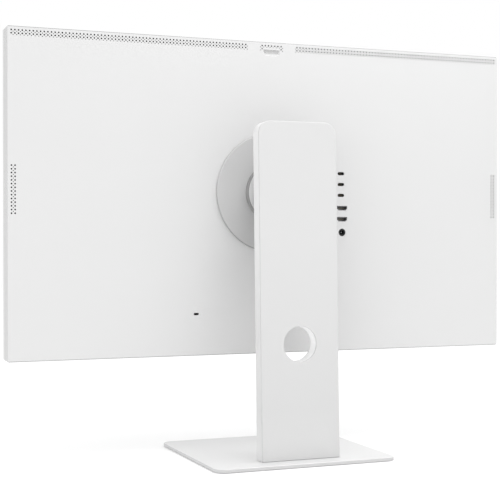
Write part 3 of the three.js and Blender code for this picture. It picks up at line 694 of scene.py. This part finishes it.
def socket_outline(node, grow=0.0, chamfer=None):
    """A socket's outline: round-ended, or with its two lower corners cut off."""
    low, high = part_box(node)
    centre = centre_of(node)
    width, height = high.x - low.x + 2 * grow, high.z - low.z + 2 * grow
    if chamfer is None:
        return rounded(width, height, min(width, height) / 2 * PORT_ROUNDNESS, centre, 6)
    half, rise = width / 2, height / 2
    cut = chamfer + grow * CHAMFER_GROWTH
    right = [(half - cut, -rise), (half, -rise + cut), (half, rise)]
    left = [(-a, b) for a, b in reversed(right)]
    return [(centre[0] + a, centre[1] + b) for a, b in right + left]


def dock_outline(shrink=0.0, points=32):
    """The dock's window; shrink raises its round lower side and leaves its top edge."""
    half = DOCK_HALF - shrink * DOCK_SIDE_SLOPE
    drop = DOCK_DROP - shrink
    outline = []
    for number in range(points + 1):
        turn = math.pi * (1 + number / points)
        across, down = math.cos(turn), max(-math.sin(turn), 0.0)
        a = half * math.copysign(abs(across) ** DOCK_SIDE_POWER, across)
        outline.append((a, DOCK_TOP - drop * down ** DOCK_DROP_POWER))
    return outline


def cover_openings():
    """The outline of each opening for a socket or the lock, as functions of how far it grows."""
    for node in DATA_PORTS:
        yield lambda grow, port=node: socket_outline(port, DATA_PORT_CLEARANCE + grow)
    for node in VIDEO_PORTS:
        yield lambda grow, port=node: socket_outline(port, PORT_CLEARANCE + grow, VIDEO_CHAMFER)
    inlet, lock = centre_of("dc_inlet"), centre_of("lock_plate")
    yield lambda grow: circle(INLET_HOLE_RADIUS + grow, inlet, 40)
    yield lambda grow: shrinking(LOCK_WIDTH, LOCK_HEIGHT, LOCK_CORNER, lock, 4)(-grow)


def rear_cover(material):
    """The rear shell: a tray open to the front, with air holes, sockets, button slot and camera dock."""
    surface = Surface()
    front, inner = COVER_LOW.y, REAR - COVER_WALL
    button_y = (BUTTON_LOW.y + BUTTON_HIGH.y) / 2
    slot_depths = [button_y - BUTTON_SLOT_DEPTH / 2, button_y + BUTTON_SLOT_DEPTH / 2]
    edge = rounding(COVER_EDGE, 5)

    wall = [surface.loop(cabinet_outline(), depth) for depth in (front, *slot_depths)]
    corner = [surface.loop(cabinet_outline(inset), REAR - drop) for inset, drop in edge]
    inside = [surface.loop(cabinet_outline(COVER_WALL), depth) for depth in (front, *slot_depths, inner)]
    slot_index = len(wall[0]) - 2
    for shell in (wall, inside):
        surface.band(shell[0], shell[1])
        surface.band(shell[1], shell[2], leave=[slot_index])
    surface.bands([wall[2], *corner])
    surface.band(inside[2], inside[3])
    surface.band(wall[0], inside[0])

    def slot_corners(shell):
        near, far = shell[1], shell[2]
        return [near[slot_index], near[slot_index + 1], far[slot_index + 1], far[slot_index]]

    surface.band(slot_corners(wall), slot_corners(inside))

    ends = []
    for centre, radius in air_holes():
        wide = radius * HOLE_WIDENING
        stops = [(wide, inner), (wide, REAR - HOLE_LIP), (radius, REAR - HOLE_LIP), (radius, REAR)]
        hole = [surface.loop(circle(reach, centre, AIR_HOLE_SIDES), depth) for reach, depth in stops]
        surface.bands(hole)
        ends.append((hole[0], hole[-1]))
    for opening in cover_openings():
        ends.append(surface.tunnel(opening, inner, REAR, PORT_EASE))

    # The dock's window slopes in from below and is upright under its top edge
    parts = [step / 5 for step in range(6)]
    slope = [(DOCK_SLOPE * part, REAR - COVER_WALL * part ** 0.8) for part in parts]
    dock = [surface.loop(dock_outline(shrink), depth) for shrink, depth in slope]
    surface.bands(dock)
    ends.append((dock[-1], dock[0]))

    surface.sheet(corner[-1], [outer for _, outer in ends])
    surface.sheet(inside[3], [inward for inward, _ in ends])
    surface.piece("cover_shell", "cabinet", "cover_white", material, "rear_cover")


def scoop_depth(a, b):
    """How deep the dock's face lies: a smooth bowl that ends in a straight edge at the top."""
    if b > DOCK_TOP:
        return 0.0
    down = (DOCK_TOP - b) / (DOCK_DROP - DOCK_SLOPE)
    across = a / SCOOP_HALF
    if down >= 1 or abs(across) >= 1:
        return 0.0
    return SCOOP_DEPTH * (1 - down ** 2) * (1 - across ** 6)


def dock_bowl(material):
    """The camera dock behind its window: a block with a thumb scoop, deepest under the top edge."""
    surface = Surface()
    low, high = DOCK_LOW, DOCK_HIGH
    columns, rows, edge_row = 36, 24, 18
    heights = [low.z + (high.z - low.z) * row / rows for row in range(rows + 1)]
    heights[edge_row:edge_row + 2] = DOCK_TOP, DOCK_TOP + SCOOP_EDGE
    grid = []
    for b in heights:
        across = [low.x + (high.x - low.x) * column / columns for column in range(columns + 1)]
        grid.append([surface.loop([(a, b)], high.y - scoop_depth(a, b))[0] for a in across])
    for lower, upper in zip(grid, grid[1:]):
        for i in range(columns):
            surface.mesh.faces.new((lower[i], lower[i + 1], upper[i + 1], upper[i]))
    right = [line[-1] for line in grid[1:-1]]
    left = [line[0] for line in grid[1:-1]]
    rim = [*grid[0], *right, *reversed(grid[-1]), *reversed(left)]
    back = surface.loop([tuple(surface.flat[vert] * MM) for vert in rim], low.y)
    surface.band(rim, back)
    surface.mesh.faces.new(back)
    surface.piece("dock_scoop", "cabinet", "cover_white", material, "camera_dock")


def front_frame(material):
    """The rim round the glass, with its inner ledge left flat."""
    surface = Surface()
    front, rear = (corner.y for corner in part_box("front_frame"))
    ledge_front, ledge_rear = front + LEDGE_FRONT, front + LEDGE_REAR
    outside = [(inset, front + drop) for inset, drop in rounding(RIM_EDGE, 3)]
    stops = [
        (0.0, rear), *outside, (RIM_WALL - RIM_CHAMFER, front), (RIM_WALL, front + RIM_CHAMFER),
        (RIM_WALL, ledge_front), (RIM_WALL + LEDGE_WIDTH, ledge_front),
        (RIM_WALL + LEDGE_WIDTH, ledge_rear), (RIM_WALL, ledge_rear), (RIM_WALL, rear),
    ]
    surface.hoop([surface.loop(cabinet_outline(inset), depth) for inset, depth in stops])
    surface.piece("front_rim", "cabinet", "frame_silver", material, "front_frame")


def glass(material):
    surface = Surface()
    low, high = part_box("screen_glass")
    outline = shrinking(high.x - low.x, high.z - low.z, GLASS_CORNER, CABINET_CENTRE)
    surface.slab(outline, low.y, high.y, GLASS_EDGE, steps=3)
    surface.piece("glass_sheet", "cabinet", "screen_glass", material, "screen_glass")


# ---- Round mount ----

DISC_EDGE = 1.1 * MM
DISC_FRONT_STEP = 1.2 * MM
DISC_FRONT_RISE = 0.3 * MM
HUB_EDGE = 0.6 * MM
RING_EDGE = 0.35 * MM
RING_GAP = 0.25 * MM


def round_mount(disc_material, hub_material, ring_material):
    """The flat disc on the cover, the hub on it and the ring round the hub."""
    low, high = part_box("mount_disc")
    centre = (0.0, (low.z + high.z) / 2)
    radius = high.x
    front = [(radius - DISC_FRONT_STEP, low.y), (radius, low.y + DISC_FRONT_RISE)]
    disc = Surface()
    disc.turned([*front, *edge_points(radius, high.y, DISC_EDGE, 5)], centre, 160)
    disc.piece("mount_disc_skin", "cabinet", "disc_silver", disc_material, "mount_disc")

    low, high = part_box("mount_hub")
    hub_radius = high.x
    hub = Surface()
    hub.turned([(hub_radius, low.y), *edge_points(hub_radius, high.y, HUB_EDGE, 4)], centre, 128)
    hub.piece("mount_hub_skin", "cabinet", "disc_silver", hub_material, "mount_hub")

    # The ring's dark grey is painted shade round the hub
    low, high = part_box("hub_ring")
    inner, outer = hub_radius + RING_GAP, high.x
    edge = edge_points(outer, high.y, RING_EDGE, 3)
    ring = Surface()
    ring.ring([(inner, low.y), (outer, low.y), *edge, (inner, high.y)], centre, 128)
    ring.piece("hub_ring_skin", "cabinet", "ring_grey", ring_material, "hub_ring")


# ---- Column and base ----

COLUMN_CORNER = 16 * MM
COLUMN_FOOT_CORNER = 0.8 * MM
SMALLEST_BEND = 0.05 * MM
COLUMN_WALL = 2.2 * MM
COLUMN_BACK_EDGE = 0.9 * MM
COLUMN_FRONT_EDGE = 2.2 * MM
COLUMN_FRONT_STRIP = 0.3
COLUMN_SEAM_EDGE = 0.25 * MM
COLUMN_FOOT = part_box("base_plate")[1].z + 0.12 * MM

# The slot that the arm slides in reaches past the arm's travel at both ends
ARM_SLOT_WIDTH = 44 * MM
ARM_SLOT_CORNER = 5 * MM
ARM_SLOT_BELOW = 26 * MM
ARM_SLOT_ABOVE = 22 * MM

# The liner of the cable hole
LINER_LOW, LINER_HIGH = leaning_box("cable_ring")
LINER_WALL = 2 * MM
CABLE_CENTRE = (0.0, (LINER_LOW.z + LINER_HIGH.z) / 2)
CABLE_RADIUS = (LINER_HIGH.x - LINER_LOW.x) / 2 - LINER_WALL
HOLE_EASE = 0.4 * MM

# The base plate's lower edge is a smaller copy of its upper one
BASE_CORNER = 14 * MM
BASE_EDGE = 1.3 * MM
BASE_LOWER_EDGE = 0.6
FEET = ["foot_rear_left", "foot_front_left", "foot_rear_right", "foot_front_right"]
FOOT_GAP = 0.25 * MM

SLEEVE_WALL = 2 * MM
SLEEVE_CORNER = 8 * MM
SLEEVE_EDGE = 0.8 * MM


def column_outline(low, high):
    """The column's outline: small corners at the foot and round ones at the top."""
    def outline(inset=0.0):
        points = []
        for number, (side, end) in enumerate([(1, -1), (1, 1), (-1, 1), (-1, -1)]):
            corner, steps = (COLUMN_CORNER, 14) if end > 0 else (COLUMN_FOOT_CORNER, 3)
            bend = max(corner - inset, SMALLEST_BEND)
            a = side * (high.x - inset - bend)
            b = high.z - inset - bend if end > 0 else low.z + inset + bend
            for step in range(steps + 1):
                turn = math.pi / 2 * (number - 1 + step / steps)
                points.append((a + bend * math.cos(turn), b + bend * math.sin(turn)))
        return points
    return outline


def cable_hole(grow):
    return circle(CABLE_RADIUS + grow, CABLE_CENTRE, 96)


def arm_slot(grow):
    washer_low, washer_high = leaning_box("friction_washer_left")
    arm_centre = (washer_low.z + washer_high.z) / 2
    travel = JOINTS["height_slide"]["range_m"]
    low = arm_centre + travel[0] - ARM_SLOT_BELOW
    high = arm_centre + travel[1] + ARM_SLOT_ABOVE
    width, height = ARM_SLOT_WIDTH + 2 * grow, high - low + 2 * grow
    return rounded(width, height, ARM_SLOT_CORNER + grow, (0.0, (low + high) / 2), 8)


def column_back(material):
    surface = Surface(LEANING)
    low, high = leaning_box("column_back")
    surface.slab(column_outline(low, high), low.y, high.y, COLUMN_BACK_EDGE, [cable_hole], HOLE_EASE)
    surface.settle(COLUMN_FOOT)
    surface.piece("column_back_skin", "stand", "stand_white", material, "column_back")


def column_front(material):
    """The column's front shell: a tray open to the rear, with the arm's slot and the cable hole."""
    surface = Surface(LEANING)
    low, high = leaning_box("column_front")
    outline = column_outline(low, high)
    face = low.y + COLUMN_WALL
    profile = rounding(COLUMN_FRONT_EDGE, 6, COLUMN_FRONT_STRIP)
    edge = [(inset, low.y + drop) for inset, drop in profile]
    stops = [(COLUMN_SEAM_EDGE, high.y), (0.0, high.y - COLUMN_SEAM_EDGE), *edge]
    outside = [surface.loop(outline(inset), depth) for inset, depth in stops]
    inside = [surface.loop(outline(COLUMN_WALL), depth) for depth in (high.y, face)]
    surface.bands([inside[1], inside[0], *outside])
    ends = [surface.tunnel(hole, low.y, face, HOLE_EASE) for hole in (cable_hole, arm_slot)]
    surface.sheet(outside[-1], [outer for outer, _ in ends])
    surface.sheet(inside[1], [inner for _, inner in ends])
    surface.settle(COLUMN_FOOT)
    surface.piece("column_front_skin", "stand", "stand_white", material, "column_front")


def cable_ring(material):
    surface = Surface(LEANING)
    inner, outer = CABLE_RADIUS, CABLE_RADIUS + LINER_WALL
    profile = [(inner, LINER_LOW.y), (outer, LINER_LOW.y), (outer, LINER_HIGH.y), (inner, LINER_HIGH.y)]
    surface.ring(profile, CABLE_CENTRE)
    surface.piece("cable_liner", "stand", "stand_white", material, "cable_ring")


def base_plate(material):
    """The plate with a rounded edge, a stepped well for the screw and a recess for each foot."""
    surface = Surface(FLAT)
    low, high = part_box("base_plate")
    outline = shrinking(high.x - low.x, high.y - low.y, BASE_CORNER, steps=14)
    profile = rounding(BASE_EDGE, 5)
    part = BASE_LOWER_EDGE
    rising = [(inset, high.z - drop) for inset, drop in profile]
    falling = [(inset * part, low.z + drop * part) for inset, drop in reversed(profile)]
    loops = [surface.loop(outline(inset), depth) for inset, depth in falling + rising]
    surface.bands(loops)

    head_radius, shank_radius, step = 9 * MM, 3.3 * MM, low.z + 2.3 * MM
    sink = [(head_radius, low.z), (head_radius, step), (shank_radius, step), (shank_radius, high.z)]
    screw = centre_of("base_screw", "xy")
    well = [surface.loop(circle(radius, screw, 48), depth) for radius, depth in sink]
    surface.bands(well)
    recesses = []
    for node in FEET:
        foot_low, foot_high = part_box(node)
        rim = circle((foot_high.x - foot_low.x) / 2 + FOOT_GAP, centre_of(node, "xy"), 48)
        recess = [surface.loop(rim, depth) for depth in (low.z, foot_high.z + FOOT_GAP)]
        surface.bands(recess)
        surface.mesh.faces.new(recess[1])
        recesses.append(recess[0])
    surface.sheet(loops[0], [well[0], *recesses])
    surface.sheet(loops[-1], [well[-1]])
    surface.piece("base_skin", "stand", "base_white", material, "base_plate")


def feet(material):
    """Rubber pads with an eased lower edge and a shallow dish underneath."""
    for node in FEET:
        low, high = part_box(node)
        radius = (high.x - low.x) / 2
        dish, dish_rim, top = radius * 0.7, radius * 0.74, radius * 0.5
        ease = 0.3 * MM
        profile = [
            (dish, low.z + ease), (dish_rim, low.z), (radius - ease, low.z),
            (radius, low.z + ease), (radius, high.z), (top, high.z),
        ]
        pad = Surface(FLAT)
        pad.turned(profile, centre_of(node, "xy"), 48)
        pad.piece(node.replace("foot", "pad"), "stand", "rubber", material, node)


def base_screw(material):
    """The thumb screw under the base: a knurled head with a coin slot, and its shank."""
    low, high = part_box("base_screw")
    centre = centre_of("base_screw", "xy")
    head, top = (high.x - low.x) / 2, low.z + 1.8 * MM
    ease, teeth, tooth_depth = 0.25 * MM, 72, 0.18 * MM
    slot_length, slot_width, slot_depth = 13 * MM, 1.6 * MM, 0.8 * MM
    shank_radius, tip_radius, tip_length = 2.9 * MM, 2.4 * MM, 0.5 * MM

    def knurled(radius):
        points = []
        for number in range(teeth):
            reach = radius - (tooth_depth if number % 2 else 0.0)
            turn = 2 * math.pi * number / teeth
            points.append((centre[0] + reach * math.cos(turn), centre[1] + reach * math.sin(turn)))
        return points

    screw = Surface(FLAT)
    slot = rounded(slot_length, slot_width, slot_width / 4, centre, 3)
    groove = [screw.loop(slot, depth) for depth in (low.z, low.z + slot_depth)]
    head_stops = [(head - ease, low.z), (head, low.z + ease), (head, top - ease), (head - ease, top)]
    loops = [screw.loop(knurled(radius), depth) for radius, depth in head_stops]
    shank_stops = [(shank_radius, top), (shank_radius, high.z - tip_length), (tip_radius, high.z)]
    shank = [screw.loop(circle(radius, centre, 32), depth) for radius, depth in shank_stops]
    for part in (loops, groove, shank):
        screw.bands(part)
    screw.sheet(loops[0], [groove[0]])
    screw.sheet(loops[-1], [shank[0]])
    screw.mesh.faces.new(groove[1])
    screw.mesh.faces.new(shank[-1])
    screw.piece("thumb_screw", "stand", "steel", material, "base_screw")


def hinge_cover(material):
    """The sleeve round the hinge, a rounded tube open at both ends."""
    low, high = leaning_box("hinge_cover")
    centre = ((low.x + high.x) / 2, (low.z + high.z) / 2)
    outline = shrinking(high.x - low.x, high.z - low.z, SLEEVE_CORNER, centre, 10)
    sleeve = Surface(LEANING)
    profile = rounding(SLEEVE_EDGE, 4)
    front = [(inset, low.y + drop) for inset, drop in reversed(profile)]
    rear = [(inset, high.y - drop) for inset, drop in profile]
    stops = [(SLEEVE_WALL, high.y), (SLEEVE_WALL, low.y), *front, *rear]
    sleeve.hoop([sleeve.loop(outline(inset), depth) for inset, depth in stops])
    sleeve.piece("hinge_sleeve", "carriage", "stand_white", material, "hinge_cover")


# ---- Sockets and small parts ----

SOCKET_LIP = 0.12 * MM
TONGUE_TIP = 0.15 * MM
TONGUE_SEAT = 0.05 * MM
TONGUE_ROUNDNESS = 0.4

# Contacts lie just proud of the tongue, and stop short of its root and its tip
CONTACT_FLOAT = 0.01 * MM
CONTACT_TOP = 0.06 * MM
CONTACT_HALF_WIDTH = 0.3
CONTACT_START = 1 * MM
CONTACT_STOP = 3 * TONGUE_TIP

BUTTON_CAP_WIDTH = 15.2 * MM
BUTTON_CAP_DEPTH = 5.2 * MM
BUTTON_CAP_CORNER = 1.6 * MM
BUTTON_LIP_CORNER = 1.2 * MM
BUTTON_LIP_HEIGHT = 1.5 * MM
BUTTON_EDGE = 0.5 * MM
BUTTON_DISH_INSET = 1.3 * MM
BUTTON_DISH_DEPTH = 0.12 * MM


def socket(node, slot, wall, depth, tongue, rise, set_back, contacts, pitch, chamfer=None):
    """A socket's shell and its tongue with gilt contacts on both faces.
    tongue is its width and thickness, rise its height over the middle, set_back how far in its tip lies."""
    front, rear = (corner.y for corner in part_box(node))
    floor = rear - depth
    shell = Surface()
    stops = [
        (0.0, front), (0.0, rear - SOCKET_LIP), (SOCKET_LIP, rear),
        (wall - SOCKET_LIP / 2, rear), (wall, rear - SOCKET_LIP / 2), (wall, floor),
    ]
    shell.solid([shell.loop(socket_outline(node, -inset, chamfer), at) for inset, at in stops])
    shell.piece(f"{node}_shell", "cabinet", slot, FINISHES[slot], node)

    width, thickness = tongue
    centre_a, centre_b = centre_of(node)
    centre_b += rise
    tip = rear - set_back
    outline = shrinking(width, thickness, thickness * TONGUE_ROUNDNESS, (centre_a, centre_b), 3)
    blade = Surface()
    stops = [(0.0, floor + TONGUE_SEAT), (0.0, tip - TONGUE_TIP), (TONGUE_TIP, tip)]
    blade.solid([blade.loop(outline(inset), at) for inset, at in stops])
    blade.piece(f"{node}_tongue", "cabinet", "port_black", FINISHES["port_black"])

    pins = Surface()
    for face in (1, -1):
        face_b = centre_b + face * thickness / 2
        across_b = sorted((face_b + face * CONTACT_FLOAT, face_b + face * CONTACT_TOP))
        for number in range(contacts):
            a = centre_a + (number - (contacts - 1) / 2) * pitch
            half = pitch * CONTACT_HALF_WIDTH
            pins.box((a - half, a + half), across_b, (floor + CONTACT_START, tip - CONTACT_STOP))
    pins.piece(f"{node}_contacts", "cabinet", "copper", GILT)


def power_inlet(material, pin_material):
    """A round barrel round a pin with a blunt tip."""
    low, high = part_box("dc_inlet")
    centre = centre_of("dc_inlet")
    radius, mouth, lip, depth = (high.x - low.x) / 2, 3.3 * MM, 0.3 * MM, 9 * MM
    floor = high.y - depth
    barrel = Surface()
    barrel.turned([
        (radius, low.y), (radius, high.y - lip), (radius - lip, high.y),
        (mouth + lip, high.y), (mouth, high.y - lip), (mouth, floor),
    ], centre, 64)
    barrel.piece("inlet_barrel", "cabinet", "port_black", material, "dc_inlet")

    pin_radius, neck_radius, tip_radius = 0.9 * MM, 0.62 * MM, 0.3 * MM
    shoulder, neck, tip = high.y - 2.1 * MM, high.y - 1.6 * MM, high.y - 1.5 * MM
    pin = Surface()
    pin.turned([
        (pin_radius, floor + TONGUE_SEAT), (pin_radius, shoulder), (neck_radius, neck), (tip_radius, tip),
    ], centre, 24)
    pin.piece("inlet_pin", "cabinet", "steel", pin_material)


def power_button(material):
    """The key in the cabinet's lower edge, with a dished face and the lip that holds it in."""
    low, high = BUTTON_LOW, BUTTON_HIGH
    centre = centre_of("power_button", "xy")
    cap = shrinking(BUTTON_CAP_WIDTH, BUTTON_CAP_DEPTH, BUTTON_CAP_CORNER, centre)
    lip = rounded(high.x - low.x, high.y - low.y, BUTTON_LIP_CORNER, centre, 8)
    shoulder = high.z - BUTTON_LIP_HEIGHT
    key = Surface(FLAT)
    loops = [key.loop(cap(BUTTON_DISH_INSET), low.z + BUTTON_DISH_DEPTH)]
    loops += [key.loop(cap(inset), low.z + drop) for inset, drop in reversed(rounding(BUTTON_EDGE, 4))]
    loops += [key.loop(cap(), shoulder), key.loop(lip, shoulder), key.loop(lip, high.z)]
    key.solid(loops)
    key.piece("button_key", "power_button", "cover_white", material, "power_button")


def eased(node):
    """Stands a copy of a CAD piece, with its edges eased by a small rounded bevel, in for the piece."""
    source = frame["nodes"][node]
    mesh = bmesh.new()
    mesh.from_mesh(source.data)
    bmesh.ops.remove_doubles(mesh, verts=mesh.verts, dist=0.002 * MM)
    bmesh.ops.dissolve_limit(mesh, angle_limit=math.radians(1), verts=mesh.verts, edges=mesh.edges)
    data = bpy.data.meshes.new(f"{node}_body")
    mesh.to_mesh(data)
    mesh.free()
    made = add_object(f"{node}_body", data)
    bevel = made.modifiers.new("Eased edges", "BEVEL")
    bevel.width = 0.35 * MM
    bevel.segments = 2
    bevel.limit_method = "ANGLE"
    bevel.angle_limit = math.radians(40)
    bevel.use_clamp_overlap = True
    finished = bpy.data.meshes.new_from_object(made.evaluated_get(bpy.context.evaluated_depsgraph_get()))
    made.modifiers.clear()
    made.data = finished
    finished.shade_smooth()
    finished.set_sharp_from_angle(angle=math.radians(SHARP_ANGLE))
    slot = SLOTS[node]
    finished.materials.clear()
    finished.materials.append(FINISHES[slot])
    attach(made, source["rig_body"])
    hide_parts(node)


# ---- Finishes of every part ----

# Where the painted shade on the outer walls begins, the screen's lit area, and the height of the base
# plate's cut edge, which is greyer with painted shade
COVER_SHADED_RIM = (CABINET_WIDTH / 2 - 0.8 * MM, CABINET_HEIGHT / 2 - 0.9 * MM, CABINET_CENTRE[1], REAR)
DISC_SHADED_RIM = (centre_of("mount_disc")[1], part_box("mount_disc")[1].x - 1 * MM)
SCREEN_AREA = (349 * MM, 196.5 * MM, CABINET_CENTRE[1])
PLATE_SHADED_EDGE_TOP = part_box("base_plate")[1].z - 0.6 * MM
STAND_GRAIN = {"grain": 0.28 * MM, "depth": 0.008 * MM}


def grey(brightness):
    return (brightness, brightness, brightness)


FINISHES = {
    "cover_white": moulded("cover_white", grey(0.645), 0.5, rim=COVER_SHADED_RIM),
    # The stand's white has painted light on faces turned to the front, and painted shade above the column's
    # foot
    "stand_white": moulded("stand_white", grey(0.77), 0.42, front=1.25, foot=0.8, **STAND_GRAIN),
    "base_white": coated("base_white", grey(0.715), 0.4, PLATE_SHADED_EDGE_TOP),
    "disc_silver": blasted("disc_silver", grey(0.53), 0.45, 0.1, rim=DISC_SHADED_RIM),
    # The ring round the hub is dark grey, as painted shade for the hub's shadowed side
    "ring_grey": blasted("ring_grey", grey(0.3), 0.5, 0.1),
    "frame_silver": blasted("frame_silver", grey(0.66), 0.36, 0.6),
    "screen_glass": screen_glass(*SCREEN_AREA),
    "panel_black": panel_black("panel_black", (0.02, 0.022, 0.026)),
    "light_sheet": milky("light_sheet", (0.85, 0.85, 0.82)),
    "board_green": circuit("board_green", (0.03, 0.14, 0.07)),
    "tray_metal": brushed("tray_metal", (0.60, 0.61, 0.62), 0.4),
    "steel": brushed("steel", (0.56, 0.57, 0.58), 0.35),
    "port_steel": brushed("port_steel", (0.30, 0.30, 0.31), 0.4),
    "port_black": moulded("port_black", (0.015, 0.015, 0.016), 0.5, drift=0.2),
    "copper": brushed("copper", (0.72, 0.40, 0.24), 0.35),
    "black_plastic": moulded("black_plastic", (0.02, 0.02, 0.021), 0.6, depth=0.03 * MM, drift=0.25),
    "dark_mesh": dust_mesh("dark_mesh", (0.05, 0.05, 0.052), 0.5 * MM),
    "acetal": moulded("acetal", (0.72, 0.71, 0.67), 0.45, drift=0.05),
    "rubber": rubbery("rubber", grey(0.03)),
}
HUB_SILVER = blasted("hub_silver", grey(0.67), 0.45, 0.1)
GILT = brushed("gilt", (0.83, 0.62, 0.28), 0.3)
# The cable hole's liner is a lighter copy of the stand's white, as painted light inside the hole
LIT_LINER_WHITE = moulded("liner_white", grey(0.92), 0.4)
# The column's back is a darker copy of the stand's white, as painted shade, with its own painted shade above
# the foot
SHADED_BACK_WHITE = moulded("back_white", grey(0.62), 0.42, foot=0.94, **STAND_GRAIN)

# CAD nodes that keep their shape, or only get eased edges, under the finish of their slot
PLAIN_NODES = {
    "steel": [
        "column_spine", "rail_left", "rail_right", "carriage", "lift_coil_left", "lift_coil_right",
        "friction_washer_left", "friction_washer_right", "tilt_bracket", "hinge_pin", "hinge_nut_left",
        "hinge_nut_right", "torsion_spring_left", "torsion_spring_right", "mount_plate", "lock_plate",
    ],
    "acetal": ["slider_shoe_left", "slider_shoe_right"],
    "panel_black": ["lcd_cell"],
    "light_sheet": ["light_guide"],
    "tray_metal": ["panel_tray"],
    "board_green": ["light_bar", "main_board", "storage_card", "antenna_left", "antenna_right"],
    "copper": ["heat_sink"],
    "black_plastic": ["blower_housing", "blower_wheel", "speaker_left", "speaker_right"],
    "dark_mesh": ["side_mesh_left", "side_mesh_right", "top_mesh_left", "top_mesh_right"],
}
SLOTS = {node: slot for slot, nodes in PLAIN_NODES.items() for node in nodes}
EASED_NODES = [
    "carriage", "tilt_bracket", "slider_shoe_left", "slider_shoe_right", "rail_left", "rail_right",
    "column_spine", "mount_plate", "lock_plate", "blower_housing", "speaker_left", "speaker_right",
    "storage_card",
]

for node, slot in SLOTS.items():
    shown = frame["nodes"][node].data.materials
    shown.clear()
    shown.append(FINISHES[slot])

rear_cover(FINISHES["cover_white"])
front_frame(FINISHES["frame_silver"])
glass(FINISHES["screen_glass"])
dock_bowl(FINISHES["cover_white"])
round_mount(FINISHES["disc_silver"], HUB_SILVER, FINISHES["ring_grey"])
column_back(SHADED_BACK_WHITE)
column_front(FINISHES["stand_white"])
cable_ring(LIT_LINER_WHITE)
base_plate(FINISHES["base_white"])
feet(FINISHES["rubber"])
base_screw(FINISHES["steel"])
hinge_cover(FINISHES["stand_white"])
for node in DATA_PORTS:
    socket(
        node, "port_black", wall=0.3 * MM, depth=7 * MM, tongue=(6.7 * MM, 0.7 * MM), rise=0.0,
        set_back=1 * MM, contacts=12, pitch=0.5 * MM,
    )
for node in VIDEO_PORTS:
    socket(
        node, "port_steel", wall=0.5 * MM, depth=8 * MM, tongue=(11 * MM, 1.2 * MM), rise=0.3 * MM,
        set_back=1.2 * MM, contacts=9, pitch=1 * MM, chamfer=VIDEO_CHAMFER,
    )
power_inlet(FINISHES["port_black"], FINISHES["steel"])
power_button(FINISHES["cover_white"])
for node in EASED_NODES:
    eased(node)


# ---- Floor, light and camera ----


def floor():
    mesh = bpy.data.meshes.new("floor")
    reach = 6.0
    corners = [(reach * x, reach * y, 0) for x, y in ((-1, -1), (1, -1), (1, 1), (-1, 1))]
    mesh.from_pydata(corners, [], [(0, 1, 2, 3)])
    made = add_object("floor", mesh)
    finish = Finish("floor", grey(0.97), 0.6)
    finish.set("Roughness", 0.55 + finish.noise(0.3, 2.0) * 0.1)
    finish.set("Emission Color", (1.0, 1.0, 1.0, 1.0))
    finish.set("Emission Strength", 0.05)
    made.data.materials.append(finish.material)


def light(name, place, target, size, watts):
    """A soft rectangular light that the camera doesn't see, turned to its target."""
    data = bpy.data.lights.new(name, "AREA")
    data.shape = "RECTANGLE"
    data.size, data.size_y = size
    data.energy = watts
    made = add_object(name, data)
    made.location = place
    made.rotation_euler = (Vector(target) - Vector(place)).to_track_quat("-Z", "Y").to_euler()
    made.visible_camera = False


def surroundings(strength):
    """An even white room all round."""
    world = bpy.data.worlds.new("studio")
    world.use_nodes = True
    background = world.node_tree.nodes["Background"]
    background.inputs["Color"].default_value = (1.0, 1.0, 1.0, 1.0)
    background.inputs["Strength"].default_value = strength
    bpy.context.scene.world = world


def camera():
    """A long lens behind the computer and off to its +X side, level with its middle."""
    data = bpy.data.cameras.new("camera")
    data.lens = 86.885
    data.sensor_width = 36
    data.clip_end = 50
    made = add_object("camera", data)
    made.location = (0.62893, 1.49778, 0.28402)
    yaw, pitch, roll = 0.3768035, -0.0066321, 0.000428
    made.rotation_euler = (math.pi / 2 + pitch, roll, math.pi - yaw)
    bpy.context.scene.camera = made


floor()
surroundings(1.0)
light("overhead", (-0.4, 0.22, 1.25), (-0.1, -0.06, 0.3), (1.0, 0.3), 5.4)
light("from_left", (1.2, 1.3, 0.6), (0.0, 0.0, 0.2), (1.2, 1.0), 3.3)
light("above", (0.0, 0.2, 2.6), (0.0, 0.0, 0.0), (3.0, 3.0), 8)
camera()
bpy.context.scene.view_settings.view_transform = "Standard"
